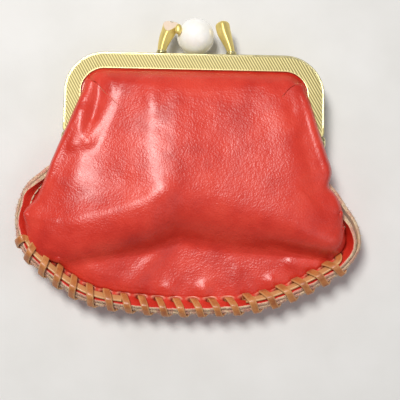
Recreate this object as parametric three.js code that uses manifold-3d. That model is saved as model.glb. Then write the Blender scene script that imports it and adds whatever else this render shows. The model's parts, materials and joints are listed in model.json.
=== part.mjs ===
// A leather coin purse with a two-part kiss-lock frame, lying on its back.
// Millimetres. +X runs along the hinge, +Y points to the clasp, +Z out of the front panel.
// Everything is drawn about the middle of the hinge axis, and moved at the end so that
// the origin is the middle of the underside.

import * as THREE from 'three';
import { mergeVertices } from 'three/addons/utils/BufferGeometryUtils.js';
import Module from 'manifold-3d';

const wasm = await Module();
wasm.setup();

// ---- driving dimensions ---------------------------------------------------------------

const FRAME_HALF_WIDTH = 50; // hinge axis is level with y = 0
const FRAME_TOP = 33;
const BAND = 6.6; // width of the channel seen from the front
const CORNER_RADIUS = 15.5;
const CHANNEL_DEPTH = 5;
const SPLIT_GAP = 0.15; // from the middle plane to each half of the frame
const WALL = 0.7;
const LEG_END = 4.6;

const EAR_RADIUS = 3.4;
const EAR_THICKNESS = 1.0;
const RIVET_RADIUS = 1.2;
const RIVET_HOLE_RADIUS = 1.5;
const RIVET_HEAD_RADIUS = 2.3;

const LEATHER = 1.4;
const LAYER_GAP = 0.3;
const CLEARANCE = 0.3;
const TABLE = -10; // the surface under the purse, below the hinge axis
const GRIP_INSET = 2.6; // leather edge inside the channel, from the outer face
const CORD_RADIUS = 0.75;

const BALL_RADIUS = 7.35;
const BALL_CENTRE = new THREE.Vector3(0, 41.4, -1.0);
const PEG_RADIUS = 0.9;

const FOLD_RADIUS = 16.2; // front leather nearer the hinge axis than this folds by half
const FOLD_HALF_WIDTH = 39;

const FLANGE = 6.2; // from the fold at the seam to the raw edges
const HOLE_LINE = 1.7; // from the fold to the middle of the lacing holes
const LACE_WIDTH = 3.1;
const LACE_THICKNESS = 0.9;
const STITCHES = 20;
const THREAD = 0.6;
const THREAD_STITCHES = 5;

const CREASE_BOW = 0.0055; // how fast the crease runs lower away from its highest point
const CREASE_MIDDLE = 5; // along the hinge
const CREASE_RISE = 1.5; // above the line of the table of heights

const PANEL_CENTRE = new THREE.Vector2(0, -16);

// ---- materials ------------------------------------------------------------------------

const material = (color, roughness, metalness) =>
  new THREE.MeshStandardMaterial({ color, roughness, metalness });

const gold = () => material(0xd9cc8c, 0.3, 1);
const redLeather = () => material(0xc8372d, 0.4, 0);
const pearl = () => material(0xf4f1ea, 0.15, 0);
const laceLeather = () => material(0xc8824b, 0.5, 0);
const paper = () => material(0xd8c6a0, 0.9, 0);
const thread = () => material(0xe0cfae, 0.8, 0);

// ---- solid geometry helpers -----------------------------------------------------------

const { lerp, clamp } = THREE.MathUtils;
const radians = THREE.MathUtils.degToRad;

// 0 at a, 1 at b and a soft step between, whichever of the two is the larger.
function smooth(a, b, x) {
  const t = clamp((x - a) / (b - a), 0, 1);
  return t * t * (3 - 2 * t);
}

function closedGeometry(vertices, triangles) {
  const geometry = new THREE.BufferGeometry();
  const position = new Float32Array(vertices.flatMap((v) => v.toArray()));
  geometry.setAttribute('position', new THREE.BufferAttribute(position, 3));
  geometry.setIndex(triangles.flat());
  return geometry;
}

function solid(geometry) {
  let welded = geometry.clone();
  welded.deleteAttribute('normal');
  welded.deleteAttribute('uv');
  welded = mergeVertices(welded, 1e-4);
  const vertProperties = new Float32Array(welded.attributes.position.array);
  const triVerts = new Uint32Array(welded.index.array);
  return new wasm.Manifold(new wasm.Mesh({ numProp: 3, vertProperties, triVerts }));
}

function geometryOf(manifold) {
  const mesh = manifold.getMesh();
  const geometry = new THREE.BufferGeometry();
  geometry.setAttribute('position', new THREE.BufferAttribute(mesh.vertProperties, 3));
  geometry.setIndex(new THREE.BufferAttribute(mesh.triVerts, 1));
  return geometry;
}

// One section carried along a row of frames. A frame has an origin and the two directions
// in which the section's x and y are laid off; scale makes the section grow or shrink.
function sweep(frames, section) {
  const contour = THREE.ShapeUtils.isClockWise(section) ? [...section].reverse() : section;
  const count = contour.length;
  const vertices = frames.flatMap(({ origin, across, up, scale = 1 }) =>
    contour.map((p) =>
      origin.clone().addScaledVector(across, p.x * scale).addScaledVector(up, p.y * scale)));
  const triangles = [];
  for (let i = 0; i + 1 < frames.length; i++) {
    for (let k = 0; k < count; k++) {
      const next = (k + 1) % count;
      const [a, b] = [i * count + k, i * count + next];
      const [c, d] = [a + count, b + count];
      triangles.push([a, b, d], [a, d, c]);
    }
  }
  const last = (frames.length - 1) * count;
  for (const [a, b, c] of THREE.ShapeUtils.triangulateShape(contour, [])) {
    triangles.push([c, b, a], [last + a, last + b, last + c]);
  }
  return outward(closedGeometry(vertices, triangles));
}

// Turns a closed geometry's faces to point out, by the sign of its volume.
function outward(geometry) {
  const position = geometry.attributes.position;
  const index = geometry.index.array;
  const [a, b, c] = [new THREE.Vector3(), new THREE.Vector3(), new THREE.Vector3()];
  let volume = 0;
  for (let i = 0; i < index.length; i += 3) {
    a.fromBufferAttribute(position, index[i]);
    b.fromBufferAttribute(position, index[i + 1]);
    c.fromBufferAttribute(position, index[i + 2]);
    volume += a.dot(b.cross(c));
  }
  if (volume < 0) {
    for (let i = 0; i < index.length; i += 3) {
      [index[i + 1], index[i + 2]] = [index[i + 2], index[i + 1]];
    }
  }
  return geometry;
}

function polygon(sides, radius) {
  return Array.from({ length: sides }, (_, i) => {
    const angle = ((i + 0.5) * 2 * Math.PI) / sides;
    return new THREE.Vector2(radius * Math.cos(angle), radius * Math.sin(angle));
  });
}

const rectangle = (width, height) => [
  new THREE.Vector2(-width / 2, -height / 2), new THREE.Vector2(width / 2, -height / 2),
  new THREE.Vector2(width / 2, height / 2), new THREE.Vector2(-width / 2, height / 2),
];

function box(low, high) {
  const size = new THREE.Vector3().subVectors(high, low);
  const middle = new THREE.Vector3().addVectors(low, high).multiplyScalar(0.5);
  return new THREE.BoxGeometry(size.x, size.y, size.z).translate(...middle);
}

// A cylinder about the hinge axis.
function barrel(radius, xLow, xHigh, sides = 12) {
  const geometry = new THREE.CylinderGeometry(radius, radius, xHigh - xLow, sides);
  return geometry.rotateZ(Math.PI / 2).translate((xLow + xHigh) / 2, 0, 0);
}

// ---- frame ----------------------------------------------------------------------------

// Frames along the U of the channel, a given depth in from its outer face.
function channelPath(inset, legEnd, z, cornerSteps = 7) {
  const straightX = FRAME_HALF_WIDTH - CORNER_RADIUS;
  const straightY = FRAME_TOP - CORNER_RADIUS;
  const radius = CORNER_RADIUS - inset;
  const stations = [{ x: -(FRAME_HALF_WIDTH - inset), y: legEnd, angle: Math.PI }];
  for (const [centreX, start] of [[-straightX, Math.PI], [straightX, Math.PI / 2]]) {
    for (let i = 0; i <= cornerSteps; i++) {
      const angle = start - (i / cornerSteps) * (Math.PI / 2);
      const x = centreX + radius * Math.cos(angle);
      stations.push({ x, y: straightY + radius * Math.sin(angle), angle });
    }
  }
  stations.push({ x: FRAME_HALF_WIDTH - inset, y: legEnd, angle: 0 });
  return stations.map(({ x, y, angle }) => ({
    origin: new THREE.Vector3(x, y, z),
    across: new THREE.Vector3(-Math.cos(angle), -Math.sin(angle), 0),
    up: new THREE.Vector3(0, 0, 1),
  }));
}

// facing = 1 for the front half, -1 for the back half.
function frameHalf(facing) {
  const inner = SPLIT_GAP;
  const outer = SPLIT_GAP + CHANNEL_DEPTH;
  const bevel = 0.9;
  const section = [
    [0, inner], [BAND, inner], [BAND, inner + WALL], [WALL, inner + WALL],
    [WALL, outer - WALL], [BAND - 0.3, outer - WALL], [BAND, outer - WALL + 0.2],
    [BAND - 0.3, outer], [bevel, outer], [0.25, outer - 0.35], [0, outer - bevel],
  ].map(([d, z]) => new THREE.Vector2(d, z * facing));
  let half = solid(sweep(channelPath(0, LEG_END, 0), section));

  // The back half's ears run outside those of the front half.
  const earOuter = facing < 0 ? FRAME_HALF_WIDTH : FRAME_HALF_WIDTH - EAR_THICKNESS - CLEARANCE;
  for (const side of [-1, 1]) {
    const [low, high] = [earOuter - EAR_THICKNESS, earOuter].map((x) => x * side)
      .sort((a, b) => a - b);
    const web = box(
      new THREE.Vector3(low, -0.5, facing > 0 ? CLEARANCE : -(outer - WALL)),
      new THREE.Vector3(high, LEG_END + 4.5, facing > 0 ? outer - WALL : -CLEARANCE));
    half = half.add(solid(web)).add(solid(barrel(EAR_RADIUS, low, high, 16)));
    half = half.subtract(solid(barrel(RIVET_HOLE_RADIUS, low - 1, high + 1)));
  }
  if (facing < 0) half = half.subtract(solid(pegBarrel(PEG_RADIUS + CLEARANCE, -3, 4)));
  return geometryOf(half);
}

function hingeRivet(side) {
  const headInner = FRAME_HALF_WIDTH - 2 * EAR_THICKNESS - 2 * CLEARANCE;
  const headOuter = FRAME_HALF_WIDTH + CLEARANCE;
  const profile = [
    [0, headInner - 0.8], [RIVET_HEAD_RADIUS - 0.5, headInner - 0.7],
    [RIVET_HEAD_RADIUS, headInner - 0.3], [RIVET_HEAD_RADIUS, headInner],
    [RIVET_RADIUS, headInner], [RIVET_RADIUS, headOuter], [RIVET_HEAD_RADIUS, headOuter],
    [RIVET_HEAD_RADIUS - 0.3, headOuter + 0.5], [RIVET_HEAD_RADIUS - 1.1, headOuter + 0.8],
    [0, headOuter + 0.9],
  ].map(([r, x]) => new THREE.Vector2(r, x));
  const geometry = new THREE.LatheGeometry(profile, 16);
  return geometry.rotateZ((-side * Math.PI) / 2);
}

function packingCord(facing) {
  const middle = facing * (SPLIT_GAP + WALL + 0.25 + CORD_RADIUS);
  return sweep(channelPath(4.3, 9.5, middle, 6), polygon(8, CORD_RADIUS));
}

// ---- clasp ----------------------------------------------------------------------------

const PEG_FOOT = new THREE.Vector3(0, FRAME_TOP, -2.4);
const pegDirection = new THREE.Vector3().subVectors(BALL_CENTRE, PEG_FOOT).normalize();

// A cylinder along the ball's peg, between two distances from the top of the frame.
function pegBarrel(radius, from, to) {
  const geometry = new THREE.CylinderGeometry(radius, radius, to - from, 12);
  geometry.translate(0, (from + to) / 2, 0);
  geometry.applyQuaternion(new THREE.Quaternion().setFromUnitVectors(
    new THREE.Vector3(0, 1, 0), pegDirection));
  return geometry.translate(...PEG_FOOT);
}

function ballPeg() {
  const head = pegBarrel(PEG_RADIUS + 0.4, -1.9, -1.3);
  return geometryOf(solid(pegBarrel(PEG_RADIUS, -1.9, 4)).add(solid(head)));
}

function claspBall() {
  const sphere = new THREE.SphereGeometry(BALL_RADIUS, 20, 14).translate(...BALL_CENTRE);
  return geometryOf(solid(sphere).subtract(solid(pegBarrel(PEG_RADIUS + CLEARANCE, -1, 4.5))));
}

// A horn that rises from the front half, widens, and leans in over the side of the ball.
function prong(side) {
  const spine = new THREE.CatmullRomCurve3([
    [13.1, 34.3, 2.6], [12.6, 37.0, 2.1], [11.8, 40.0, 1.6], [10.8, 43.0, 1.2],
    [10.1, 45.0, 1.0],
  ].map(([x, y, z]) => new THREE.Vector3(x * side, y, z)));
  const radii = [1.3, 1.5, 1.8, 2.15, 2.45, 2.5];
  const steps = 8;
  const depthways = new THREE.Vector3(0, 0, 1);
  const frames = [];
  for (let i = 0; i <= steps; i++) {
    const t = i / steps;
    const along = spine.getTangent(t);
    const across = new THREE.Vector3().crossVectors(along, depthways).normalize();
    const up = new THREE.Vector3().crossVectors(across, along);
    const cell = Math.min(Math.floor(t * 5), 4);
    const scale = lerp(radii[cell], radii[cell + 1], t * 5 - cell);
    frames.push({ origin: spine.getPoint(t), across, up, scale });
  }
  // rounded end
  const end = frames[steps];
  const tip = spine.getTangent(1);
  for (const [advance, shrink] of [[0.5, 0.9], [0.85, 0.62]]) {
    const origin = end.origin.clone().addScaledVector(tip, advance);
    frames.push({ ...end, origin, scale: end.scale * shrink });
  }
  return sweep(frames, polygon(12, 1));
}

// The little collar that each horn is soldered to the top of the front half with.
function prongFoot(side) {
  const geometry = new THREE.CylinderGeometry(1.7, 2.1, 0.4, 16);
  return geometry.translate(13.0 * side, FRAME_TOP + CLEARANCE + 0.2, 2.65);
}

// ---- seam -----------------------------------------------------------------------------

// The line in plan along which the two panels come together, from below one hinge round
// the bottom to the other.
const SEAM_POINTS = [
  [-43.6, -5], [-47.2, -9.8], [-55.2, -14.2], [-61.8, -22], [-64.6, -32], [-60.6, -40.6],
  [-51, -47.6], [-36.3, -55.6], [-21, -60], [3, -61.8], [25.6, -59.2], [44, -51.2],
  [56.9, -42.6], [61.6, -34.6], [59.6, -25], [53.8, -16], [47.2, -10], [43.6, -5],
];
const seamCurve = new THREE.CatmullRomCurve3(
  SEAM_POINTS.map(([x, y]) => new THREE.Vector3(x, y, 0)), false, 'centripetal');
seamCurve.arcLengthDivisions = 400;
const SEAM_LENGTH = seamCurve.getLength();

// The raw edges stand less proud close to the hinges.
const flangeWidth = (y) => FLANGE * lerp(0.2, 1, smooth(-5, -15, y));

// How far round the seam is the bottom and not a side: 0 under the hinges, 1 at the bottom.
const bottomness = (y) => smooth(-24, -42, y);

// Local frame of the seam at a distance along it: out = plan direction away from the purse,
// flange = the way the two layers point past the holes, normal = out of the front layer.
function seamFrame(distance) {
  const t = clamp(distance / SEAM_LENGTH, 0, 1);
  const point = seamCurve.getPointAt(t);
  const along = seamCurve.getTangentAt(t);
  const out = new THREE.Vector3(along.y, -along.x, 0);
  const rise = bottomness(point.y);
  const tilt = radians(lerp(70, 45, rise));
  point.z = lerp(-3.2, -4.6, rise) + 2.2 * smooth(-16, -4, point.y);
  const up = new THREE.Vector3(0, 0, 1);
  const flange = out.clone().multiplyScalar(Math.cos(tilt)).addScaledVector(up, Math.sin(tilt));
  const normal = out.clone().multiplyScalar(-Math.sin(tilt)).addScaledVector(up, Math.cos(tilt));
  return { point, along, out, flange, normal, tilt };
}

// ---- leather panels -------------------------------------------------------------------

// Height of the front panel along its middle line: it rises from the frame to a belly,
// drops into a crease, and runs out low and nearly flat to the lacing.
const BELLY = [
  [31, 3.55], [26, 4.7], [20, 7.0], [14, 9.8], [7, 12.0], [0, 13.1], [-9, 14.0], [-18, 14.2],
  [-23, 13.7], [-27, 12.3], [-31, 9.9], [-35, 6.4], [-38, 3.6], [-41, 1.5], [-44, 0.9],
  [-50, 0.8], [-56, 0.2], [-64, -1.6],
];

function heightAlong(profile, y) {
  if (y >= profile[0][0]) return profile[0][1];
  for (let i = 1; i < profile.length; i++) {
    const [y1, z1] = profile[i];
    const [y0, z0] = profile[i - 1];
    if (y >= y1) return lerp(z1, z0, (y - y1) / (y0 - y1));
  }
  return profile[profile.length - 1][1];
}

// The crease runs lower towards the sides than in the middle.
const creaseShift = (x) => CREASE_BOW * (x - CREASE_MIDDLE) ** 2 - CREASE_RISE;
const bellyHeight = (x, y) => heightAlong(BELLY, y + creaseShift(x) * smooth(5, -20, y));
const floorHeight = () => TABLE + LEATHER / 2;

// Cross-sections of a panel: how far in from the edge, and what share of the full height.
// They carry on from the gripped or laced margin.
const FRONT_TOP = [[4.9, 0.02], [6.4, 0.12], [8.2, 0.32], [10.4, 0.6], [13, 0.86], [16.5, 1]];
const FRONT_LEG = [[6.2, 0.12], [6.4, 0.36], [0, 0.62], [1.4, 0.8], [4.8, 0.93], [11, 1]];
const FRONT_SIDE = [[2.4, 0.04], [3.9, 0.18], [3.0, 0.45], [4.2, 0.72], [8, 0.92], [13.5, 1]];
const FRONT_BOTTOM = [[2.4, 0.08], [5, 0.34], [8, 0.6], [11, 0.8], [15, 0.94], [19, 1]];
const BACK_TOP = [[6.2, 0.08], [8.4, 0.26], [11, 0.55], [13.6, 0.82], [16.5, 1], [21, 1]];
const BACK_LEG = [[6.0, 0.1], [7.2, 0.3], [8.6, 0.58], [10.6, 0.84], [13.2, 1], [18, 1]];
const BACK_SIDE = [[0.6, 0.3], [1.6, 0.58], [3.4, 0.82], [6, 0.95], [9, 1], [14, 1]];
const BACK_BOTTOM = [[1.4, 0.3], [3.2, 0.58], [5.6, 0.82], [8.4, 0.95], [11.5, 1], [16, 1]];

const mixSections = (a, b, share) =>
  a.map(([d, f], k) => [lerp(d, b[k][0], share), lerp(f, b[k][1], share)]);

// Where the front leather's widest line stands over the leg, measured along the hinge.
const legSilhouette = (y) => lerp(41, 49.3, smooth(21, 1, y));

// The stations round the margin of a panel, from the middle of the top, clockwise.
function marginStations() {
  const stations = [];
  const gripX = FRAME_HALF_WIDTH - GRIP_INSET;
  const gripY = FRAME_TOP - GRIP_INSET;
  const straightX = FRAME_HALF_WIDTH - CORNER_RADIUS;
  const straightY = FRAME_TOP - CORNER_RADIUS;
  const radius = CORNER_RADIUS - GRIP_INSET;
  const half = (side) => {
    const list = [];
    for (const share of [0.16, 0.5, 0.84]) {
      list.push({ kind: 'top', x: side * straightX * share, y: gripY, inX: 0, inY: -1 });
    }
    for (const share of [0.12, 0.5, 0.88]) {
      const angle = (share * Math.PI) / 2;
      const [dx, dy] = [Math.sin(angle), Math.cos(angle)];
      list.push({ kind: 'corner', x: side * (straightX + radius * dx),
        y: straightY + radius * dy, inX: -side * dx, inY: -dy });
    }
    for (const y of [14.5, 9.5]) {
      list.push({ kind: 'leg', x: side * gripX, y, inX: -side, inY: 0 });
    }
    for (const [x, y] of [[46.2, 6], [45.4, 1]]) {
      list.push({ kind: 'hinge', x: side * x, y, inX: -side, inY: 0 });
    }
    return list;
  };
  const seamStations = 36;
  stations.push(...half(1));
  for (let i = seamStations; i >= 0; i--) {
    stations.push({ kind: 'seam', distance: (SEAM_LENGTH * i) / seamStations });
  }
  stations.push(...half(-1).reverse());
  return stations;
}

// facing = 1 for the front panel, -1 for the back panel. Returns the rings of points on the
// middle surface of the leather, from the margin inwards.
function panelRings(facing) {
  const height = facing > 0 ? bellyHeight : floorHeight;
  const gripZ = facing * (SPLIT_GAP + CHANNEL_DEPTH - WALL - 0.2 - LEATHER / 2);
  const layer = (facing * (LEATHER + LAYER_GAP)) / 2;
  const rows = marginStations().map((station) => {
    const points = [];
    let section;
    let base;
    let from;
    let inward;
    if (station.kind === 'seam') {
      const { point, out, flange, normal } = seamFrame(station.distance);
      for (const share of [1, 0]) {
        points.push(point.clone().addScaledVector(flange, flangeWidth(point.y) * share)
          .addScaledVector(normal, layer));
      }
      const rise = bottomness(point.y);
      const nearHinge = smooth(-14, -4, point.y);
      section = facing > 0 ? mixSections(FRONT_SIDE, FRONT_BOTTOM, rise)
        : mixSections(mixSections(BACK_SIDE, BACK_BOTTOM, rise), BACK_LEG, 0.4 * nearHinge);
      base = point.z + layer * Math.max(0.5, normal.z);
      [from, inward] = [point, out.clone().negate()];
    } else {
      const { x, y, inX, inY, kind } = station;
      from = new THREE.Vector3(x, y, 0);
      inward = new THREE.Vector3(inX, inY, 0);
      const legness = kind === 'top' ? 0 : smooth(26, 19, y);
      base = kind === 'hinge' ? lerp(facing, gripZ, smooth(-4, 9, y)) : gripZ;
      for (const depth of kind === 'hinge' ? [0, 1.5] : [0, 4]) {
        points.push(from.clone().addScaledVector(inward, depth).setZ(base));
      }
      section = facing > 0 ? mixSections(FRONT_TOP, FRONT_LEG, legness)
        : mixSections(BACK_TOP, BACK_LEG, legness);
      if (facing > 0 && legness > 0) {
        const widest = Math.abs(x) - legSilhouette(y);
        section = section.map(([d, f], k) => (k < 2 ? [d, f] : [d + widest * legness, f]));
      }
      if (kind === 'hinge' && facing > 0) {
        section = section.map(([d, f], k) => [k < 2 ? d * 0.5 : d, f]);
      }
    }
    const toCentre = new THREE.Vector3(PANEL_CENTRE.x, PANEL_CENTRE.y, 0)
      .sub(from).setZ(0).normalize();
    for (const [d, f] of section) {
      const way = inward.clone().lerp(toCentre, smooth(3, 14, d)).normalize();
      const p = from.clone().addScaledVector(way, d);
      points.push(p.setZ(lerp(base, height(p.x, p.y), f)));
    }
    const rim = points[points.length - 1];
    for (const share of [0.5]) {
      const x = lerp(rim.x, PANEL_CENTRE.x, share);
      const y = lerp(rim.y, PANEL_CENTRE.y, share);
      points.push(new THREE.Vector3(x, y, height(x, y)));
    }
    return points;
  });
  const centre = new THREE.Vector3(PANEL_CENTRE.x, PANEL_CENTRE.y,
    height(PANEL_CENTRE.x, PANEL_CENTRE.y));
  return { rows, centre };
}

// A closed sheet of leather round the middle surface given by the rows of a panel.
function thickPanel({ rows, centre }) {
  const rings = rows[0].length;
  const count = rows.length;
  const middle = [...rows.flat(), centre];
  const pole = middle.length - 1;
  const at = (i, k) => (i % count) * rings + k;
  const faces = [];
  for (let i = 0; i < count; i++) {
    for (let k = 0; k + 1 < rings; k++) {
      faces.push([at(i, k), at(i + 1, k), at(i + 1, k + 1)]);
      faces.push([at(i, k), at(i + 1, k + 1), at(i, k + 1)]);
    }
    faces.push([at(i, rings - 1), at(i + 1, rings - 1), pole]);
  }
  const normals = middle.map(() => new THREE.Vector3());
  for (const [a, b, c] of faces) {
    const ab = new THREE.Vector3().subVectors(middle[b], middle[a]);
    const ac = new THREE.Vector3().subVectors(middle[c], middle[a]);
    const n = ab.cross(ac).normalize();
    for (const v of [a, b, c]) normals[v].add(n);
  }
  const layer = (sign) => middle.map((p, v) =>
    p.clone().addScaledVector(normals[v].normalize(), (sign * LEATHER) / 2));
  const vertices = [...layer(1), ...layer(-1)];
  const shift = middle.length;
  const triangles = [...faces, ...faces.map(([a, b, c]) => [c + shift, b + shift, a + shift])];
  for (let i = 0; i < count; i++) {
    const [a, b] = [at(i, 0), at(i + 1, 0)];
    triangles.push([a, a + shift, b + shift], [a, b + shift, b]);
  }
  return outward(closedGeometry(vertices, triangles));
}

// ---- lacing and side seams ------------------------------------------------------------

const LACING_START = 44; // from either end of the seam to the first and the last hole
const LACING_PITCH = (SEAM_LENGTH - 2 * LACING_START) / STITCHES;
const FLANGE_HALF = LEATHER + LAYER_GAP / 2;
const LACE_CLEARANCE = 0.5;
const LACE_RUN = FLANGE_HALF + LACE_CLEARANCE + LACE_THICKNESS / 2;
const TAIL_STITCHES = 6;
const TAIL_OFFSET = 4.1; // past the fold

// A point given along the seam, past the holes, and out of the front layer.
function seamPoint(distance, past, above) {
  const { point, flange, normal } = seamFrame(distance);
  return point.clone().addScaledVector(flange, past).addScaledVector(normal, above);
}

// The lace is one strip: a tail tucked under the first stitches, one turn round the edge
// per hole, and a tail tucked back under the last stitches.
function lacePath() {
  const lift = LACE_THICKNESS + CLEARANCE;
  const path = [];
  const add = (distance, past, above, widthAlong, widthPast) =>
    path.push({ distance, past, above, widthAlong, widthPast });
  const edge = FLANGE + LACE_CLEARANCE + LACE_THICKNESS / 2;
  const tail = (from, to, steps) => {
    for (let i = 0; i <= steps; i++) add(lerp(from, to, i / steps), TAIL_OFFSET, LACE_RUN, 0, 1);
  };
  const first = LACING_START;
  const reach = TAIL_STITCHES * LACING_PITCH;
  tail(first + reach, first - 1.2, 9);
  const turn = LACE_RUN + 0.3;
  add(first - 2.3, TAIL_OFFSET + 0.4, turn, 0.5, 1);
  add(first - 3.1, TAIL_OFFSET + 1.5, turn, 1, 0.4);
  add(first - 3.3, edge - 0.6, turn, 1, 0);
  add(first - 3.3, edge + 0.1, turn - 0.9, 1, 0);
  add(first - 3.2, edge + 0.2, 0, 1, 0);
  for (let k = 0; k <= STITCHES; k++) {
    const s = first + k * LACING_PITCH;
    const overTail = k < TAIL_STITCHES || k >= STITCHES - TAIL_STITCHES;
    const above = LACE_RUN + (overTail ? lift : 0);
    add(s - 2.9, edge - 0.15, -LACE_RUN + 0.8, 1, 0);
    add(s - 2.5, edge - 0.9, -LACE_RUN, 1, 0);
    add(s - 0.45, HOLE_LINE + 0.8, -LACE_RUN, 1, 0);
    add(s - 0.1, HOLE_LINE, -LACE_RUN + 0.75, 1, 0);
    if (k === STITCHES) break;
    add(s + 0.1, HOLE_LINE, above - 0.75, 1, 0);
    add(s + 0.45, HOLE_LINE + 0.8, above, 1, 0);
    add(s + LACING_PITCH - 4.1, edge - 0.9, above, 1, 0);
    add(s + LACING_PITCH - 3.6, edge - 0.15, above - 0.8, 1, 0);
    add(s + LACING_PITCH - 3.2, edge, 0, 1, 0);
  }
  const last = first + STITCHES * LACING_PITCH;
  add(last, HOLE_LINE, LACE_RUN - 0.75, 1, 0);
  add(last - 0.2, HOLE_LINE + 0.9, LACE_RUN, 1, 0.4);
  add(last - 1.2, TAIL_OFFSET - 0.5, LACE_RUN, 0.5, 1);
  tail(last - 2.6, last - reach, 9);
  return path;
}

function laceGeometry() {
  const path = lacePath();
  const points = path.map((p) => seamPoint(p.distance, p.past, p.above));
  const frames = points.map((origin, i) => {
    const before = points[Math.max(i - 1, 0)];
    const after = points[Math.min(i + 1, points.length - 1)];
    const along = new THREE.Vector3().subVectors(after, before).normalize();
    const seam = seamFrame(path[i].distance);
    const width = seam.along.clone().multiplyScalar(path[i].widthAlong)
      .addScaledVector(seam.flange, path[i].widthPast);
    const across = width.addScaledVector(along, -width.dot(along)).normalize();
    return { origin, across, up: new THREE.Vector3().crossVectors(along, across) };
  });
  return sweep(frames, rectangle(LACE_WIDTH, LACE_THICKNESS));
}

// A straight-sided cutter through both layers of the flange.
function flangeCutter(distance, alongSize, pastSize) {
  const { along, flange } = seamFrame(distance);
  const frames = [-1, 1].map((sign) => ({
    origin: seamPoint(distance, HOLE_LINE, sign * (FLANGE_HALF + 0.8)),
    across: along,
    up: flange,
  }));
  return sweep(frames, rectangle(alongSize, pastSize));
}

const lacingHoles = () => Array.from({ length: STITCHES + 1 }, (_, k) =>
  flangeCutter(LACING_START + k * LACING_PITCH, LACE_WIDTH + 0.7, LACE_THICKNESS + 0.7));

// Stations of the machine stitching between a hinge and the first or last lacing hole.
function threadStations(side) {
  const [near, far] = [17, LACING_START - 7];
  return Array.from({ length: THREAD_STITCHES + 1 }, (_, i) => {
    const distance = lerp(near, far, i / THREAD_STITCHES);
    return side < 0 ? distance : SEAM_LENGTH - distance;
  });
}

const threadHoles = (side) => threadStations(side).map((distance) =>
  flangeCutter(distance, THREAD + 0.6, THREAD + 0.6));

function seamThread(side) {
  const run = FLANGE_HALF + CLEARANCE + THREAD / 2;
  const stations = threadStations(side);
  const points = [];
  stations.forEach((distance, i) => {
    const above = i % 2 === 0 ? -run : run;
    points.push(seamPoint(distance, HOLE_LINE, above), seamPoint(distance, HOLE_LINE, -above));
  });
  const frames = points.map((origin, i) => {
    const before = points[Math.max(i - 1, 0)];
    const after = points[Math.min(i + 1, points.length - 1)];
    const along = new THREE.Vector3().subVectors(after, before).normalize();
    const { flange } = seamFrame(stations[Math.floor(i / 2)]);
    const across = flange.clone().addScaledVector(along, -flange.dot(along)).normalize();
    return { origin, across, up: new THREE.Vector3().crossVectors(along, across) };
  });
  return sweep(frames, rectangle(THREAD, THREAD));
}

// ---- the front panel is one piece of leather, cut where it folds at the hinge ----------

function punched(panel) {
  let piece = solid(thickPanel(panelRings(panel)));
  const holes = [...lacingHoles(), ...threadHoles(-1), ...threadHoles(1)];
  for (const hole of holes) piece = piece.subtract(solid(hole));
  return piece;
}

function frontPanelParts() {
  const whole = punched(1);
  const reach = 100;
  const above = solid(box(new THREE.Vector3(-reach, 0, -reach),
    new THREE.Vector3(reach, reach, reach)));
  const below = solid(box(new THREE.Vector3(-reach, -reach, -reach),
    new THREE.Vector3(reach, 0, reach)));
  const gap = CLEARANCE / 2;
  const fold = solid(barrel(FOLD_RADIUS + gap, -reach, reach, 48));
  const core = solid(barrel(FOLD_RADIUS - gap, -FOLD_HALF_WIDTH, FOLD_HALF_WIDTH, 48));
  const outside = whole.subtract(fold);
  return {
    upper: geometryOf(outside.intersect(above)),
    lower: geometryOf(outside.intersect(below)),
    middle: geometryOf(whole.intersect(core)),
  };
}

// ---- assembly -------------------------------------------------------------------------

const purse = new THREE.Group();

function place(name, geometry, look) {
  const mesh = new THREE.Mesh(geometry, look);
  mesh.name = name;
  purse.add(mesh);
}

place('back_frame', frameHalf(-1), gold());
place('front_frame', frameHalf(1), gold());
place('back_packing_cord', packingCord(-1), paper());
place('front_packing_cord', packingCord(1), paper());
place('clasp_ball', claspBall(), pearl());
place('ball_peg', ballPeg(), gold());
for (const [name, side] of [['left', -1], ['right', 1]]) {
  place(`hinge_rivet_${name}`, hingeRivet(side), gold());
  place(`prong_${name}`, prong(side), gold());
  place(`prong_foot_${name}`, prongFoot(side), gold());
  place(`side_seam_thread_${name}`, seamThread(side), thread());
}
const front = frontPanelParts();
place('front_panel_upper', front.upper, redLeather());
place('front_panel_middle', front.middle, redLeather());
place('front_panel_lower', front.lower, redLeather());
place('back_panel', geometryOf(punched(-1)), redLeather());
place('edge_lace', laceGeometry(), laceLeather());

const bounds = new THREE.Box3().setFromObject(purse);
const middle = bounds.getCenter(new THREE.Vector3());
purse.position.set(-middle.x, -middle.y, -bounds.min.z);

const group = new THREE.Group();
group.add(purse);
export default group;
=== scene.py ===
"""Looks of a leather coin purse with a kiss-lock frame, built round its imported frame.

Lengths are millimetres about the middle of the hinge axis, and millimetre meshes are moved
to the frame's metres when they are made. +X runs along the hinge, +Y points to the clasp and
+Z out of the front panel.
"""

import json
import math

import bpy
import numpy as np
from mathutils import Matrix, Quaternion, Vector


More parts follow.
